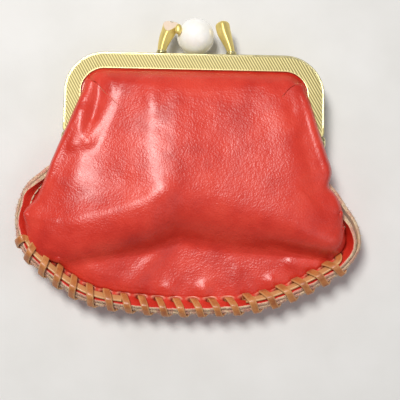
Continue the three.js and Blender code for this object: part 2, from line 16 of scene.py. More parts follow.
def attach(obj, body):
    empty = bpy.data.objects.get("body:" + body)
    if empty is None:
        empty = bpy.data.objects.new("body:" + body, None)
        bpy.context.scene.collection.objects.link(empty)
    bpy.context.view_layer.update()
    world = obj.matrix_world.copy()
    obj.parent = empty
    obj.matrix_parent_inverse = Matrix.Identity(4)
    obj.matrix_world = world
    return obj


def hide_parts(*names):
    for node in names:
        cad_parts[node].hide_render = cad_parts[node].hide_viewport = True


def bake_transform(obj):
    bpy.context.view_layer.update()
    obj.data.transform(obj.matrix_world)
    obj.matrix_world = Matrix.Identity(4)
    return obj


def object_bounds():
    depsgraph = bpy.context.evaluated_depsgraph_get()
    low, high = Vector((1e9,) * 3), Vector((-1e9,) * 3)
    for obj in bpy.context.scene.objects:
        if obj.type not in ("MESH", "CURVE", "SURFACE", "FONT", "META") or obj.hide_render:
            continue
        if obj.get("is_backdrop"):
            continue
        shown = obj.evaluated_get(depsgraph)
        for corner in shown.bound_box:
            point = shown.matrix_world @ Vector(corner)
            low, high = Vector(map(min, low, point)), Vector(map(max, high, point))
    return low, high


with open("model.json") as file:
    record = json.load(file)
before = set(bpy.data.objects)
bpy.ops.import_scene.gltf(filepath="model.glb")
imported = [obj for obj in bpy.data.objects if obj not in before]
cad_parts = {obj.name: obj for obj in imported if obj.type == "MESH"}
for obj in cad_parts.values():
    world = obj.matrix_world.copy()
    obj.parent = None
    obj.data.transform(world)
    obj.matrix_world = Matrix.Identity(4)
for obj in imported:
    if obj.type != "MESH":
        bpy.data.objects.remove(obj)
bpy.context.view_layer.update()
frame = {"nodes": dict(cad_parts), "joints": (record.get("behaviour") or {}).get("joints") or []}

# ---- driving dimensions -------------------------------------------------------------------

MM = 0.001
HINGE = np.array(frame["joints"][0]["pos_m"])

FRAME_HALF_WIDTH = 50.0
FRAME_TOP = 33.0
BAND = 6.6
CORNER_RADIUS = 15.5
CHANNEL_DEPTH = 5.0
SPLIT_GAP = 0.15
WALL = 0.7
LEG_END = 4.6
EAR_RADIUS = 3.4
EAR_THICKNESS = 1.0
EAR_INSET = 0.06  # of the back half's plates, behind the face of the leg
RIVET_RADIUS = 1.2
RIVET_HOLE_RADIUS = 1.5
RIVET_HEAD_RADIUS = 2.3
CLEARANCE = 0.3

LEATHER = 1.4
LAYER_GAP = 0.3
TABLE = -10.0
GRIP_INSET = 2.6
GRIP_Z = SPLIT_GAP + CHANNEL_DEPTH - WALL - 0.2 - LEATHER / 2

BALL_RADIUS = 7.35
BALL_CENTRE = np.array([0.0, 41.4, -1.0])

FLANGE = 6.2
HOLE_LINE = 1.7
FLANGE_TILT_SIDE = 85.0
FLANGE_TILT_LEFT = 40.0
FLANGE_TILT_BOTTOM = (41.0, 50.0)  # at the left and the right of the bottom
SPLAY = 0.5  # how far the two raw edges of the right side stand apart
LEFT_BULGE = 3.6  # how far the belly swells out over the left flange
LEFT_LIFT = 2.8  # how much higher the seam lies at the left of the bottom
FLANGE_HALF = LEATHER + LAYER_GAP / 2
LACE_WIDTH = 2.6
LACE_THICKNESS = 0.9
LACE_CLEARANCE = 0.5
LACE_LEAN = 2.5  # how far along the seam a stitch moves on the front
LACING_START = 44.0
STITCHES = 19
TAIL_STITCHES = 6
THREAD_LINE = 2.6  # from the fold to the side seam's stitches
THREAD_HOLES = 11
THREAD_RADIUS = 0.24
TAIL_OFFSET = 4.4

PANEL_CENTRE = np.array([0.0, -16.0])

SIDES = {-1: "left", 1: "right"}

random = np.random.default_rng(7)

# ---- small mathematics --------------------------------------------------------------------


def lerp(a, b, t):
    return a + (b - a) * t


def smooth(a, b, x):
    """0 at a, 1 at b and a soft step between."""
    t = np.clip((x - a) / (b - a), 0, 1)
    return t * t * (3 - 2 * t)


def unit(v):
    return v / np.maximum(np.linalg.norm(v, axis=-1, keepdims=True), 1e-9)


def hermite(p1, p2, m1, m2, t):
    t2, t3 = t * t, t * t * t
    return (2 * t3 - 3 * t2 + 1) * p1 + (t3 - 2 * t2 + t) * m1 + (3 * t2 - 2 * t3) * p2 + (t3 - t2) * m2


def centripetal(points, per_span):
    """Centripetal Catmull-Rom curve through the points, as a fine polyline."""
    pts = np.array(points, float)
    pts = np.vstack([2 * pts[0] - pts[1], pts, 2 * pts[-1] - pts[-2]])
    t = np.linspace(0, 1, per_span, endpoint=False)[:, None]
    spans = []
    for i in range(1, len(pts) - 2):
        p0, p1, p2, p3 = pts[i - 1 : i + 3]
        d0, d1, d2 = [max(np.linalg.norm(b - a), 1e-6) ** 0.5 for a, b in ((p0, p1), (p1, p2), (p2, p3))]
        m1 = ((p1 - p0) / d0 - (p2 - p0) / (d0 + d1) + (p2 - p1) / d1) * d1
        m2 = ((p2 - p1) / d1 - (p3 - p1) / (d1 + d2) + (p3 - p2) / d2) * d1
        spans.append(hermite(p1, p2, m1, m2, t))
    return np.vstack([*spans, pts[-2:-1]])


def spline(xs, ys, x):
    """Smooth curve through (xs, ys), flat where the points turn, so that it doesn't overshoot."""
    xs, ys = np.array(xs, float), np.array(ys, float)
    h = np.diff(xs)
    slope = np.diff(ys) / h
    m = np.zeros(len(xs))
    both = slope[:-1] * slope[1:] > 0
    inner = np.zeros(len(slope) - 1)
    inner[both] = 2 * slope[:-1][both] * slope[1:][both] / (slope[:-1] + slope[1:])[both]
    m[1:-1] = inner
    m[0], m[-1] = slope[0], slope[-1]
    x = np.clip(x, xs[0], xs[-1])
    i = np.clip(np.searchsorted(xs, x, side="right") - 1, 0, len(h) - 1)
    t = (x - xs[i]) / h[i]
    return hermite(ys[i], ys[i + 1], m[i] * h[i], m[i + 1] * h[i], t)


def waves(x, y, size, seed, octaves=3):
    """Soft noise between about -1 and 1, made of a few crossed sine waves."""
    rng = np.random.default_rng(seed)
    total = np.zeros(np.broadcast(x, y).shape)
    for octave in range(octaves):
        step = size / 1.8**octave
        for _ in range(5):
            angle, phase = rng.uniform(0, 2 * math.pi, 2)
            length = step * rng.uniform(0.8, 1.4)
            run = x * math.cos(angle) + y * math.sin(angle)
            total += np.sin(run * 2 * math.pi / length + phase) / 1.8**octave
    return total / 5


def line_distance(x, y, points):
    """Distance from (x, y) to a polyline."""
    best = np.full(np.shape(x), 1e9)
    for (ax, ay), (bx, by) in zip(points, points[1:]):
        dx, dy = bx - ax, by - ay
        t = np.clip(((x - ax) * dx + (y - ay) * dy) / (dx * dx + dy * dy), 0, 1)
        best = np.minimum(best, np.hypot(x - ax - t * dx, y - ay - t * dy))
    return best


# ---- meshes -------------------------------------------------------------------------------


def make_mesh(name, points, faces, materials, indices=None, attributes=None):
    """A smooth mesh object from millimetre points, linked to the scene."""
    mesh = bpy.data.meshes.new(name)
    metres = np.asarray(points, float) * MM + HINGE
    mesh.from_pydata(metres.tolist(), [], [list(map(int, f)) for f in faces])
    for material in materials:
        mesh.materials.append(material)
    if indices is not None:
        mesh.polygons.foreach_set("material_index", np.asarray(indices, np.int32))
    for key, values in (attributes or {}).items():
        layer = mesh.attributes.new(key, "FLOAT", "POINT")
        layer.data.foreach_set("value", np.asarray(values, np.float32))
    mesh.polygons.foreach_set("use_smooth", [True] * len(mesh.polygons))
    mesh.update()
    piece = bpy.data.objects.new(name, mesh)
    bpy.context.scene.collection.objects.link(piece)
    return piece


def grid_faces(rows, columns, wrap_rows=False, wrap_columns=False):
    """Quads of a grid of points numbered row by row."""
    r = np.arange(rows if wrap_rows else rows - 1)
    c = np.arange(columns if wrap_columns else columns - 1)
    r, c = [a.ravel() for a in np.meshgrid(r, c, indexing="ij")]
    r1, c1 = (r + 1) % rows, (c + 1) % columns
    return np.stack([r * columns + c, r * columns + c1, r1 * columns + c1, r1 * columns + c], 1)


def outward(points, faces):
    """The faces, turned so that the closed mesh's volume is positive."""
    p = np.asarray(points)
    tri = np.array([[f[0], f[i], f[i + 1]] for f in faces for i in range(1, len(f) - 1)])
    a, b, c = p[tri[:, 0]], p[tri[:, 1]], p[tri[:, 2]]
    volume = np.einsum("ij,ij->i", a, np.cross(b, c)).sum()
    return faces if volume > 0 else [tuple(reversed(f)) for f in faces]


def sweep(origins, across, up, sections):
    """Section points carried along a row of frames: (points, faces)."""
    sections = np.asarray(sections, float)
    if sections.ndim == 2:
        sections = np.repeat(sections[None], len(origins), 0)
    grid = origins[:, None] + sections[..., :1] * across[:, None] + sections[..., 1:] * up[:, None]
    count = sections.shape[1]
    faces = [tuple(f) for f in grid_faces(len(origins), count, False, True)]
    last = (len(origins) - 1) * count
    faces += [tuple(range(count)), tuple(reversed(range(last, last + count)))]
    points = grid.reshape(-1, 3)
    return points, outward(points, faces)


def merge(*solids):
    """Several (points, faces) in one."""
    points, faces, shift = [], [], 0
    for p, f in solids:
        points.append(p)
        faces += [tuple(i + shift for i in face) for face in f]
        shift += len(p)
    return np.vstack(points), faces


def lathe(profile, axis_point, axis, sides=64):
    """Turned solid: profile is (radius, distance along axis), starting and ending on the axis."""
    axis = unit(np.array(axis, float))
    side = unit(np.cross(axis, [0.0, 0.0, 1.0] if abs(axis[2]) < 0.9 else [1.0, 0.0, 0.0]))
    other = np.cross(axis, side)
    angles = np.arange(sides) * 2 * math.pi / sides
    points = [np.array(axis_point) + profile[0][1] * axis]
    for radius, along in profile[1:-1]:
        for a in angles:
            points.append(axis_point + along * axis + radius * (math.cos(a) * side + math.sin(a) * other))
    points.append(np.array(axis_point) + profile[-1][1] * axis)
    rings = len(profile) - 2
    faces = [tuple(f + 1) for f in grid_faces(rings, sides, False, True)]
    last = len(points) - 1
    for i in range(sides):
        j = (i + 1) % sides
        faces.append((0, 1 + j, 1 + i))
        faces.append((last, 1 + (rings - 1) * sides + i, 1 + (rings - 1) * sides + j))
    points = np.array(points)
    return points, outward(points, faces)


# ---- materials ----------------------------------------------------------------------------


def linear(r, g, b):
    """sRGB bytes to the linear colour that a shader takes."""
    channels = [c / 255 for c in (r, g, b)]
    return tuple(((c + 0.055) / 1.055) ** 2.4 if c > 0.04 else c / 12.92 for c in channels) + (1.0,)


class Shader:
    """A Principled material and short calls for the nodes that feed it."""

    def __init__(self, name, place="Object", **sockets):
        self.material = bpy.data.materials.new(name)
        self.material.use_nodes = True
        self.tree = self.material.node_tree
        self.bsdf = self.tree.nodes["Principled BSDF"]
        for key, value in sockets.items():
            self.bsdf.inputs[key.replace("_", " ")].default_value = value
        if place == "Object":
            self.place = self.node("ShaderNodeTexCoord").outputs["Object"]
        else:
            self.place = self.node("ShaderNodeAttribute", attribute_name=place).outputs["Vector"]

    def node(self, kind, **settings):
        made = self.tree.nodes.new(kind)
        for key, value in settings.items():
            setattr(made, key, value)
        return made

    def feed(self, node, **inputs):
        for key, value in inputs.items():
            socket = node.inputs[int(key[1:])] if key[0] == "i" and key[1:].isdigit() else node.inputs[key]
            if isinstance(value, bpy.types.NodeSocket):
                self.tree.links.new(value, socket)
            else:
                socket.default_value = value
        return node

    def stretched(self, x, y, z):
        """The place, scaled along each axis, which draws a texture out along it."""
        made = self.node("ShaderNodeVectorMath", operation="MULTIPLY")
        return self.feed(made, i0=self.place, i1=(x, y, z)).outputs[0]

    def noise(self, size, detail=3.0, roughness=0.55, place=None):
        """Noise whose blobs are about size millimetres across."""
        made = self.node("ShaderNodeTexNoise")
        self.feed(made, Vector=place or self.place, Scale=1 / (size * MM), Detail=detail, Roughness=roughness)
        return made.outputs["Fac"]

    def cells(self, size):
        """Distance from the middles of soft cells about size millimetres across."""
        made = self.node("ShaderNodeTexVoronoi", feature="SMOOTH_F1")
        self.feed(made, Vector=self.place, Scale=1 / (size * MM))
        return made.outputs["Distance"]

    def attribute(self, name):
        return self.node("ShaderNodeAttribute", attribute_name=name).outputs["Fac"]

    def ramp(self, value, *stops):
        """Colours, or plain numbers as greys, along a value."""
        made = self.node("ShaderNodeValToRGB")
        while len(made.color_ramp.elements) < len(stops):
            made.color_ramp.elements.new(0.5)
        for element, (at, colour) in zip(made.color_ramp.elements, stops):
            element.position = at
            element.color = colour if isinstance(colour, tuple) else (colour, colour, colour, 1)
        self.feed(made, Fac=value)
        return made.outputs["Color"]

    def math(self, operation, a, b=0.0):
        made = self.node("ShaderNodeMath", operation=operation)
        self.feed(made, i0=a, i1=b)
        return made.outputs[0]

    def spread(self, value, low, high, to_low=0.0, to_high=1.0):
        made = self.node("ShaderNodeMapRange")
        self.feed(made, i0=value, i1=low, i2=high, i3=to_low, i4=to_high)
        return made.outputs[0]

    def mix(self, share, a, b):
        made = self.node("ShaderNodeMix", data_type="RGBA")
        self.feed(made, i0=share, i6=a, i7=b)
        return made.outputs[2]

    def bump(self, height, depth, normal=None):
        """Bump whose height of 1 is depth millimetres."""
        made = self.node("ShaderNodeBump")
        self.feed(made, Height=height, Distance=depth * MM, Strength=1.0)
        if normal is not None:
            self.feed(made, Normal=normal)
        return made.outputs["Normal"]

    def out(self, **inputs):
        self.feed(self.bsdf, **{key.replace("_", " "): value for key, value in inputs.items()})
        return self.material


def red_leather():
    """Smooth red calf, waxed to a gloss: fine pebbled grain and pale scuffs, with a painted highlight on the
    pucker above each hole and painted shade in each hole.
    """
    s = Shader("red_leather", place="rest", IOR=1.5, Coat_Weight=0.2, Coat_Roughness=0.2)
    tone = s.noise(14, 4)
    colour = s.ramp(tone, (0.32, linear(196, 42, 28)), (0.5, linear(214, 56, 40)),
                    (0.68, linear(224, 68, 50)))
    pores = s.noise(0.55, 2, 0.7)
    colour = s.mix(s.spread(pores, 0.4, 0.75, 0.0, 0.25), colour, linear(172, 30, 18))
    scuffs = s.spread(s.noise(2.4, 5, 0.75), 0.62, 0.75, 0.0, 0.35)
    colour = s.mix(scuffs, colour, linear(222, 96, 78))
    # painted highlight: the pucker above each lace hole is painted pale
    colour = s.mix(s.attribute("pucker_highlight"), colour, linear(236, 158, 128))
    # painted shade: each lace hole is painted near black
    colour = s.mix(s.attribute("hole"), colour, linear(38, 9, 6))
    cells = s.cells(0.62)
    grain = s.math("ADD", s.spread(cells, 0.1, 0.6, 1.0, 0.0), s.math("MULTIPLY", pores, 0.8))
    normal = s.bump(s.noise(2.6, 4, 0.65), 0.16)
    normal = s.bump(s.noise(0.9, 2, 0.6), 0.09, normal)
    normal = s.bump(grain, 0.05, normal)
    roughness = s.spread(s.math("ADD", s.noise(5, 3), s.math("MULTIPLY", pores, 0.4)), 0.4, 1.0, 0.30, 0.46)
    return s.out(Base_Color=colour, Roughness=roughness, Normal=normal)


def flesh_side():
    """The inside of the leather: matt, napped and pale tan."""
    s = Shader("flesh_side", place="rest", Sheen_Weight=0.4, Sheen_Roughness=0.6)
    nap = s.noise(0.35, 4, 0.7)
    blot = s.noise(9, 3)
    colour = s.ramp(nap, (0.3, linear(150, 108, 74)), (0.55, linear(190, 148, 108)),
                    (0.8, linear(214, 178, 138)))
    colour = s.mix(s.spread(blot, 0.45, 0.75, 0.0, 0.5), colour, linear(176, 96, 74))
    normal = s.bump(nap, 0.12)
    return s.out(Base_Color=colour, Roughness=s.spread(nap, 0.3, 0.8, 0.8, 0.95), Normal=normal)


def raw_edge():
    """The cut edge of the leather: cream fibres, stained pink near the dyed side."""
    s = Shader("raw_edge", place="rest", Sheen_Weight=0.3)
    fibres = s.noise(0.22, 5, 0.75)
    stain = s.noise(3.0, 3)
    colour = s.ramp(fibres, (0.25, linear(184, 136, 98)), (0.5, linear(232, 204, 168)),
                    (0.8, linear(248, 232, 208)))
    colour = s.mix(s.spread(stain, 0.42, 0.6, 0.0, 0.8), colour, linear(222, 152, 134))
    normal = s.bump(fibres, 0.16)
    return s.out(Base_Color=colour, Roughness=s.spread(fibres, 0.2, 0.8, 0.75, 0.95), Normal=normal)


def lace_leather():
    """Brown lacing leather, slick on the grain side and paler along its cut edges."""
    s = Shader("lace_leather", IOR=1.5, Coat_Weight=0.25, Coat_Roughness=0.25)
    streak = s.noise(0.5, 4, 0.65)
    colour = s.ramp(s.noise(4.5, 3), (0.3, linear(164, 92, 46)), (0.5, linear(192, 118, 62)),
                    (0.72, linear(214, 146, 86)))
    colour = s.mix(s.spread(streak, 0.45, 0.75, 0.0, 0.5), colour, linear(136, 72, 36))
    colour = s.mix(s.attribute("cut"), colour, linear(226, 176, 118))
    colour = s.mix(s.attribute("tail"), colour, linear(218, 170, 118))
    normal = s.bump(streak, 0.05)
    normal = s.bump(s.noise(1.6, 2), 0.10, normal)
    return s.out(Base_Color=colour, Roughness=s.spread(streak, 0.3, 0.8, 0.3, 0.52), Normal=normal)


def gilt_metal(name, warm=0.0, metallic=1.0):
    """Pale gilt plating with some tarnish; painted shade darkens the rib grooves and the ribbed face, which
    is also rougher (satin), and a painted highlight lightens the left horn's cut facet.
    """
    s = Shader(name)
    bright = tuple(lerp(np.array(linear(230, 220, 170)), np.array(linear(250, 222, 118)), warm))
    dull = tuple(lerp(np.array(linear(196, 182, 122)), np.array(linear(226, 184, 84)), warm))
    tarnish = s.spread(s.noise(2.6, 5, 0.7), 0.52, 0.72, 0.0, 0.55)
    colour = s.mix(tarnish, bright, dull)
    ribbed = s.attribute("ribbed")
    # painted shade: the ribbed face gets a darker gilt colour so that it reflects less light than the border
    colour = s.mix(s.math("MULTIPLY", ribbed, 0.7), colour, linear(204, 192, 136))
    # painted shade in the rib grooves
    colour = s.mix(s.attribute("groove"), colour, linear(96, 84, 42))
    # painted highlight and reflection: the left horn's cut facet is painted pale
    colour = s.mix(s.attribute("facet_highlight"), colour, linear(244, 222, 200))
    scratches = s.noise(0.3, 2, 0.6, place=s.stretched(0.12, 1, 1))
    normal = s.bump(scratches, 0.012)
    normal = s.bump(s.noise(1.8, 3), 0.02, normal)
    roughness = s.spread(s.noise(1.2, 4, 0.7), 0.3, 0.75, lerp(0.24, 0.46, warm), lerp(0.42, 0.56, warm))
    roughness = s.math("MAXIMUM", roughness, s.math("MULTIPLY", ribbed, 0.62))
    # the facet with the painted highlight is made nearly non-metallic
    solid = s.spread(s.attribute("facet_highlight"), 0.0, 1.0, metallic, 0.1)
    return s.out(Base_Color=colour, Metallic=solid, Roughness=roughness, Normal=normal)


def pearl_lacquer():
    """White pearl lacquer over a plastic ball, faintly yellowed and scuffed."""
    s = Shader("pearl_lacquer", IOR=1.52, Coat_Weight=0.8, Coat_Roughness=0.06)
    colour = s.ramp(s.noise(5, 3), (0.35, linear(250, 247, 238)), (0.6, linear(254, 253, 250)))
    specks = s.spread(s.noise(0.5, 4, 0.8), 0.68, 0.76, 0.0, 0.35)
    colour = s.mix(specks, colour, linear(196, 178, 138))
    normal = s.bump(s.noise(1.4, 3), 0.015)
    return s.out(Base_Color=colour, Roughness=s.spread(s.noise(0.8, 4), 0.3, 0.8, 0.14, 0.3), Normal=normal)


def twisted_paper():
    s = Shader("twisted_paper")
    fibre = s.noise(0.3, 4, 0.7)
    colour = s.ramp(fibre, (0.3, linear(164, 138, 98)), (0.7, linear(216, 196, 158)))
    return s.out(Base_Color=colour, Roughness=0.9, Normal=s.bump(fibre, 0.06))


def waxed_thread():
    s = Shader("waxed_thread", Sheen_Weight=0.3)
    fibre = s.noise(0.16, 3, 0.7)
    colour = s.ramp(fibre, (0.3, linear(188, 160, 122)), (0.7, linear(238, 222, 194)))
    return s.out(Base_Color=colour, Roughness=0.7, Normal=s.bump(fibre, 0.05))


def paper_floor():
    s = Shader("paper_floor")
    mottle = s.noise(30, 3)
    colour = s.ramp(mottle, (0.3, linear(222, 221, 218)), (0.7, linear(229, 228, 226)))
    return s.out(Base_Color=colour, Roughness=0.75, Normal=s.bump(s.noise(0.8, 3), 0.02))


RED = red_leather()
FLESH = flesh_side()
RAW = raw_edge()
LACE = lace_leather()
GOLD = gilt_metal("gilt_metal")
HORN_GOLD = gilt_metal("horn_gilt", warm=0.7, metallic=0.7)
PEARL = pearl_lacquer()
PAPER = twisted_paper()
THREAD = waxed_thread()

# ---- seam ---------------------------------------------------------------------------------

# The line in plan along which the two panels come together, from below the left hinge round
# the bottom to the right one.
SEAM_POINTS = [
    (-43.6, -5), (-47.2, -9.8), (-55.0, -14.2), (-59.6, -22), (-61.5, -32), (-58.6, -41.4),
    (-51.6, -48.4), (-37.2, -57.4), (-21, -60.2), (3, -61.2), (26, -59.2), (44.6, -51.6),
    (56.0, -44.2), (59.3, -38.8), (59.3, -33), (57.2, -27.4), (53.6, -21.4), (50.0, -17.2),
    (46.4, -11.4), (43.6, -5),
]
seam_line = centripetal(SEAM_POINTS, 60)
seam_along = np.concatenate([[0], np.cumsum(np.linalg.norm(np.diff(seam_line, axis=0), axis=1))])
SEAM_LENGTH = seam_along[-1]
LACING_PITCH = (SEAM_LENGTH - 2 * LACING_START) / STITCHES
HOLE_STATIONS = LACING_START + LACING_PITCH * np.arange(STITCHES + 1)


def flange_width(y):
    return FLANGE * lerp(0.2, 1, smooth(-5, -15, y))


def bottomness(y):
    """0 at the sides of the seam and 1 along the bottom."""
    return smooth(-24, -42, y)


DIRECTION_STEP = 0.4  # either side of a point, to find the seam's direction there


def seam_plan(distance):
    """Points of the seam in plan, at distances along it."""
    return np.stack([np.interp(distance, seam_along, seam_line[:, k]) for k in (0, 1)], -1)


def seam_frame(distance):
    """Local frames of the seam at distances along it."""
    distance = np.clip(np.atleast_1d(distance), 0, SEAM_LENGTH)
    plan = seam_plan(distance)
    ahead = seam_plan(np.minimum(distance + DIRECTION_STEP, SEAM_LENGTH))
    behind = seam_plan(np.maximum(distance - DIRECTION_STEP, 0))
    along = unit(ahead - behind)
    rise = bottomness(plan[:, 1])
    left_tilt = lerp(FLANGE_TILT_SIDE, FLANGE_TILT_LEFT, smooth(-14, -25, plan[:, 1]))
    side_tilt = np.where(plan[:, 0] < 0, left_tilt, FLANGE_TILT_SIDE)
    bottom_tilt = lerp(*FLANGE_TILT_BOTTOM, smooth(-10, 20, plan[:, 0]))
    tilt = np.radians(lerp(side_tilt, bottom_tilt, rise))[:, None]
    z = lerp(-3.0, -1.8, rise) + 2.0 * smooth(-16, -4, plan[:, 1])
    z = z + LEFT_LIFT * rise * smooth(-12, -40, plan[:, 0])
    flat = np.zeros(len(plan))
    out = np.stack([along[:, 1], -along[:, 0], flat], 1)
    up = np.array([0.0, 0.0, 1.0])
    return {
        "point": np.column_stack([plan, z]),
        "along": np.column_stack([along, flat]),
        "out": out,
        "flange": out * np.cos(tilt) + up * np.sin(tilt),
        "normal": -out * np.sin(tilt) + up * np.cos(tilt),
    }


def seam_points(distance, past, above):
    """Points along the seam, past the fold towards the raw edge, and out of the front layer."""
    f = seam_frame(distance)
    return f["point"] + f["flange"] * np.asarray(past)[:, None] + f["normal"] * np.asarray(above)[:, None]


# ---- relief of the front panel ------------------------------------------------------------

# Lines across the front panel as y along x: the valley at the foot of the belly and the crest
# of the belly, with a wall between them.
VALLEY = [(-62, -54.0), (-50, -52.5), (-42, -50.7), (-34, -48.9), (-25, -47.1), (-15, -45.3),
          (-9.6, -43.6), (-3.9, -42.0), (3.8, -43.2), (11.4, -44.1), (19, -45.0), (27, -45.0),
          (35, -45.4), (42, -45.8), (54, -46.4), (62, -46.6)]
CREST = [(-62, -37.5), (-50, -36.0), (-42.6, -34.6), (-35, -32.9), (-25.4, -30.2), (-16, -26.8),
         (-10.3, -22.8), (-4.7, -19.2), (3, -18.9), (10.7, -20.1), (18.5, -22.1), (26.2, -24.8),
         (34, -27.5), (41.8, -31.8), (47.6, -34.6), (56, -37.5), (62, -39.0)]
CREST_HEIGHT = [(-62, 7.2), (-50, 9.6), (-42, 11.3), (-35, 12.1), (-27, 12.9), (-20, 13.8), (-14, 14.4),
                (-8, 14.4), (-2, 13.8), (6, 12.9), (14, 12.3), (22, 12.1), (30, 12.0), (38, 11.7), (46, 10.6),
                (56, 9.0), (62, 8.2)]
VALLEY_HEIGHT = [(-62, 3.8), (-50, 4.8), (-42, 5.2), (-35, 4.9), (-25, 3.2), (-15, 1.6), (-4, 0.3),
                 (8, 0.0), (20, 0.0), (35, 0.3), (54, 0.8), (62, 0.8)]
SKIRT_FALL = [(-1, 0.03), (0, 0), (4, -0.1), (10, -0.3), (16, -0.6), (22, -1.2), (30, -1.8)]
# What share of the height a line has: up the wall from the valley (0) to the crest (1), and
# down from the crest (0) to the frame (1).
WALL_RISE = [(0, 0), (0.06, 0.014), (0.18, 0.142), (0.29, 0.376), (0.41, 0.614), (0.53, 0.785),
             (0.65, 0.896), (0.765, 0.962), (0.88, 0.993), (1, 1)]
BELLY_FALL = [(0, 1), (0.14, 0.985), (0.3, 0.94), (0.5, 0.86), (0.68, 0.745), (0.8, 0.63), (0.88, 0.5),
              (0.94, 0.3), (1, 0.05)]

# Soft ridges and hollows: a line in plan, a half width and a height.
RELIEF = [
    ([(-16, 22), (-14.5, 4), (-13, -8), (-11.5, -17)], 6.0, 0.35),
    ([(-17, 24), (-16, 12)], 3.6, 0.5),
    ([(-52, -35.2), (-42.6, -33.4), (-35, -31.6), (-25.6, -29.2), (-16, -25.4), (-10.4, -21.4)], 3.6, 0.75),
    ([(-62, -31.6), (-50, -33.4)], 1.3, 0.4),
    ([(-34, 12), (-35, -2), (-36, -13)], 8.0, -1.3),
    ([(-52, -24.5), (-42, -24), (-34, -22.5), (-26, -19)], 5.0, -0.6),
    ([(-42.5, 8), (-44.5, -4)], 2.6, 1.0),
    ([(-38.8, 23), (-40.2, 14), (-41.5, 7), (-42.0, 2), (-40.4, -3.5)], 2.0, 0.6),
    ([(-32.8, 25), (-30.9, 18), (-31.6, 12), (-34.3, 5), (-38.6, -3)], 2.2, 0.6),
    ([(-36.0, 22), (-36.4, 14), (-38.2, 6)], 1.8, -0.55),
    ([(38, 20), (39.4, 12), (38.6, 3)], 2.4, 0.45),
    ([(30, 14), (34, 4), (37, -10)], 5.0, 0.35),
    ([(30, -39.6), (42, -41.8), (52, -43.4), (58, -44.2)], 1.4, -0.8),
    ([(38, -46.6), (48, -48.0)], 2.4, 0.9),
    ([(-23, -57), (-16, -48.5), (-7, -39.2)], 3.0, 0.6),
    ([(-8.6, -66), (-8.3, -58)], 3.1, 1.3),
    ([(4.6, -66), (4.9, -58)], 3.2, 1.3),
    ([(32.6, -61), (30.8, -54)], 2.4, 1.2),
    ([(18, -56), (17.5, -50)], 2.0, 0.3),
    ([(-38, -50), (-42, -44)], 2.6, 0.4),
    ([(41.4, 16), (43.2, 10.9), (45.6, 1.8), (47.9, -5), (50.7, -13.4), (52.3, -18), (54.6, -26)], 1.5, 0.75),
    ([(37.5, 10), (40, 2), (42, -6), (45, -16)], 2.6, -0.5),
    ([(-42.6, 14), (-46.7, 2.5), (-50.1, -5), (-53.2, -13.4), (-56.7, -20.6), (-60.5, -26)], 1.7, 1.0),
    ([(-40, 4), (-44, -6), (-48, -15)], 2.8, -0.45),
]


def table_curve(table, x):
    return spline([p[0] for p in table], [p[1] for p in table], x)


def belly_height(x, y):
    """Height of the front leather's middle surface, away from its margins."""
    valley, crest = table_curve(VALLEY, x), table_curve(CREST, x)
    high, low = table_curve(CREST_HEIGHT, x), table_curve(VALLEY_HEIGHT, x)
    up_belly = np.clip((y - crest) / (31.0 - crest), 0, 1)
    belly = GRIP_Z + (high - GRIP_Z) * table_curve(BELLY_FALL, up_belly)
    up_wall = np.clip((y - valley) / (crest - valley), 0, 1)
    wall = low + (high - low) * table_curve(WALL_RISE, up_wall)
    below = np.maximum(valley - y, 0)
    skirt = low + table_curve(SKIRT_FALL, below)
    z = np.where(y > crest, belly, np.where(y > valley, wall, skirt))
    for points, width, height in RELIEF:
        z = z + height * np.exp(-((line_distance(x, y, points) / width) ** 2))
    gathers = np.sin(x * 2 * math.pi / 6.5 + 1.3 * np.sin(x * 0.31)) * smooth(16, 27, y)
    puckers = np.cos(x * 2 * math.pi / 7.4 + 0.9 * np.sin(x * 0.23)) * smooth(8, 17, below)
    return z + 0.10 * gathers + 0.2 * puckers + 0.09 * waves(x, y, 15, 3)


def back_height(x, y):
    """The back leather lies on the table and lifts off it a little in places."""
    return TABLE + LEATHER / 2 + 0.25 * np.maximum(waves(x, y, 26, 5), 0)


# ---- leather panels -----------------------------------------------------------------------

# Cross-sections of a panel: how far in from the edge, and what share of the full height.
FRONT_TOP = [(4.7, 0.1), (6.0, 0.4), (8.0, 0.7), (10.4, 0.88), (13, 0.97), (16.5, 1)]
FRONT_LEG = [(6.2, 0.12), (6.4, 0.36), (0, 0.62), (1.1, 0.86), (4.2, 0.96), (10, 1)]
FRONT_LEFT = [(2.3, 0.08), (1.7, 0.3), (0.5, 0.55), (1.7, 0.8), (5.5, 0.94), (12, 1)]
FRONT_RIGHT = [(2.6, 0.08), (3.4, 0.3), (3.1, 0.56), (4.3, 0.8), (7.8, 0.94), (13, 1)]
FRONT_BOTTOM = [(1.3, 0.3), (2.8, 0.66), (5.4, 0.88), (9.6, 0.96), (14.5, 0.99), (19, 1)]
BACK_TOP = [(6.2, 0.08), (8.4, 0.26), (11, 0.55), (13.6, 0.82), (16.5, 1), (21, 1)]
BACK_LEG = [(6.0, 0.1), (7.2, 0.3), (8.6, 0.58), (10.6, 0.84), (13.2, 1), (18, 1)]
BACK_SIDE = [(0.6, 0.3), (1.6, 0.58), (3.4, 0.82), (6, 0.95), (9, 1), (14, 1)]
BACK_BOTTOM = [(1.4, 0.3), (3.2, 0.58), (5.6, 0.82), (8.4, 0.95), (11.5, 1), (16, 1)]

# Where the front leather is widest, as x along y: it billows out over the legs and hinges.
WIDEST_LEFT = [(-34, 62.4), (-30, 62.4), (-25.6, 60.6), (-20, 57.2), (-12.8, 54.0), (-5.4, 50.9),
               (2, 47.7), (13.4, 43.1), (23, 39.9)]
WIDEST_RIGHT = [(-36, 57.8), (-31.9, 57.5), (-24.7, 56.5), (-21, 55.0), (-15.2, 53.5), (-10, 51.8),
                (-7, 50.6), (0, 48.1), (6, 46.0), (13, 43.9), (25, 39.1)]

STATION_STEP = 0.5
ROW_STEPS = [13, 5, 4, 5, 7, 6, 7, 7, 30]  # points from each control point of a row to the next


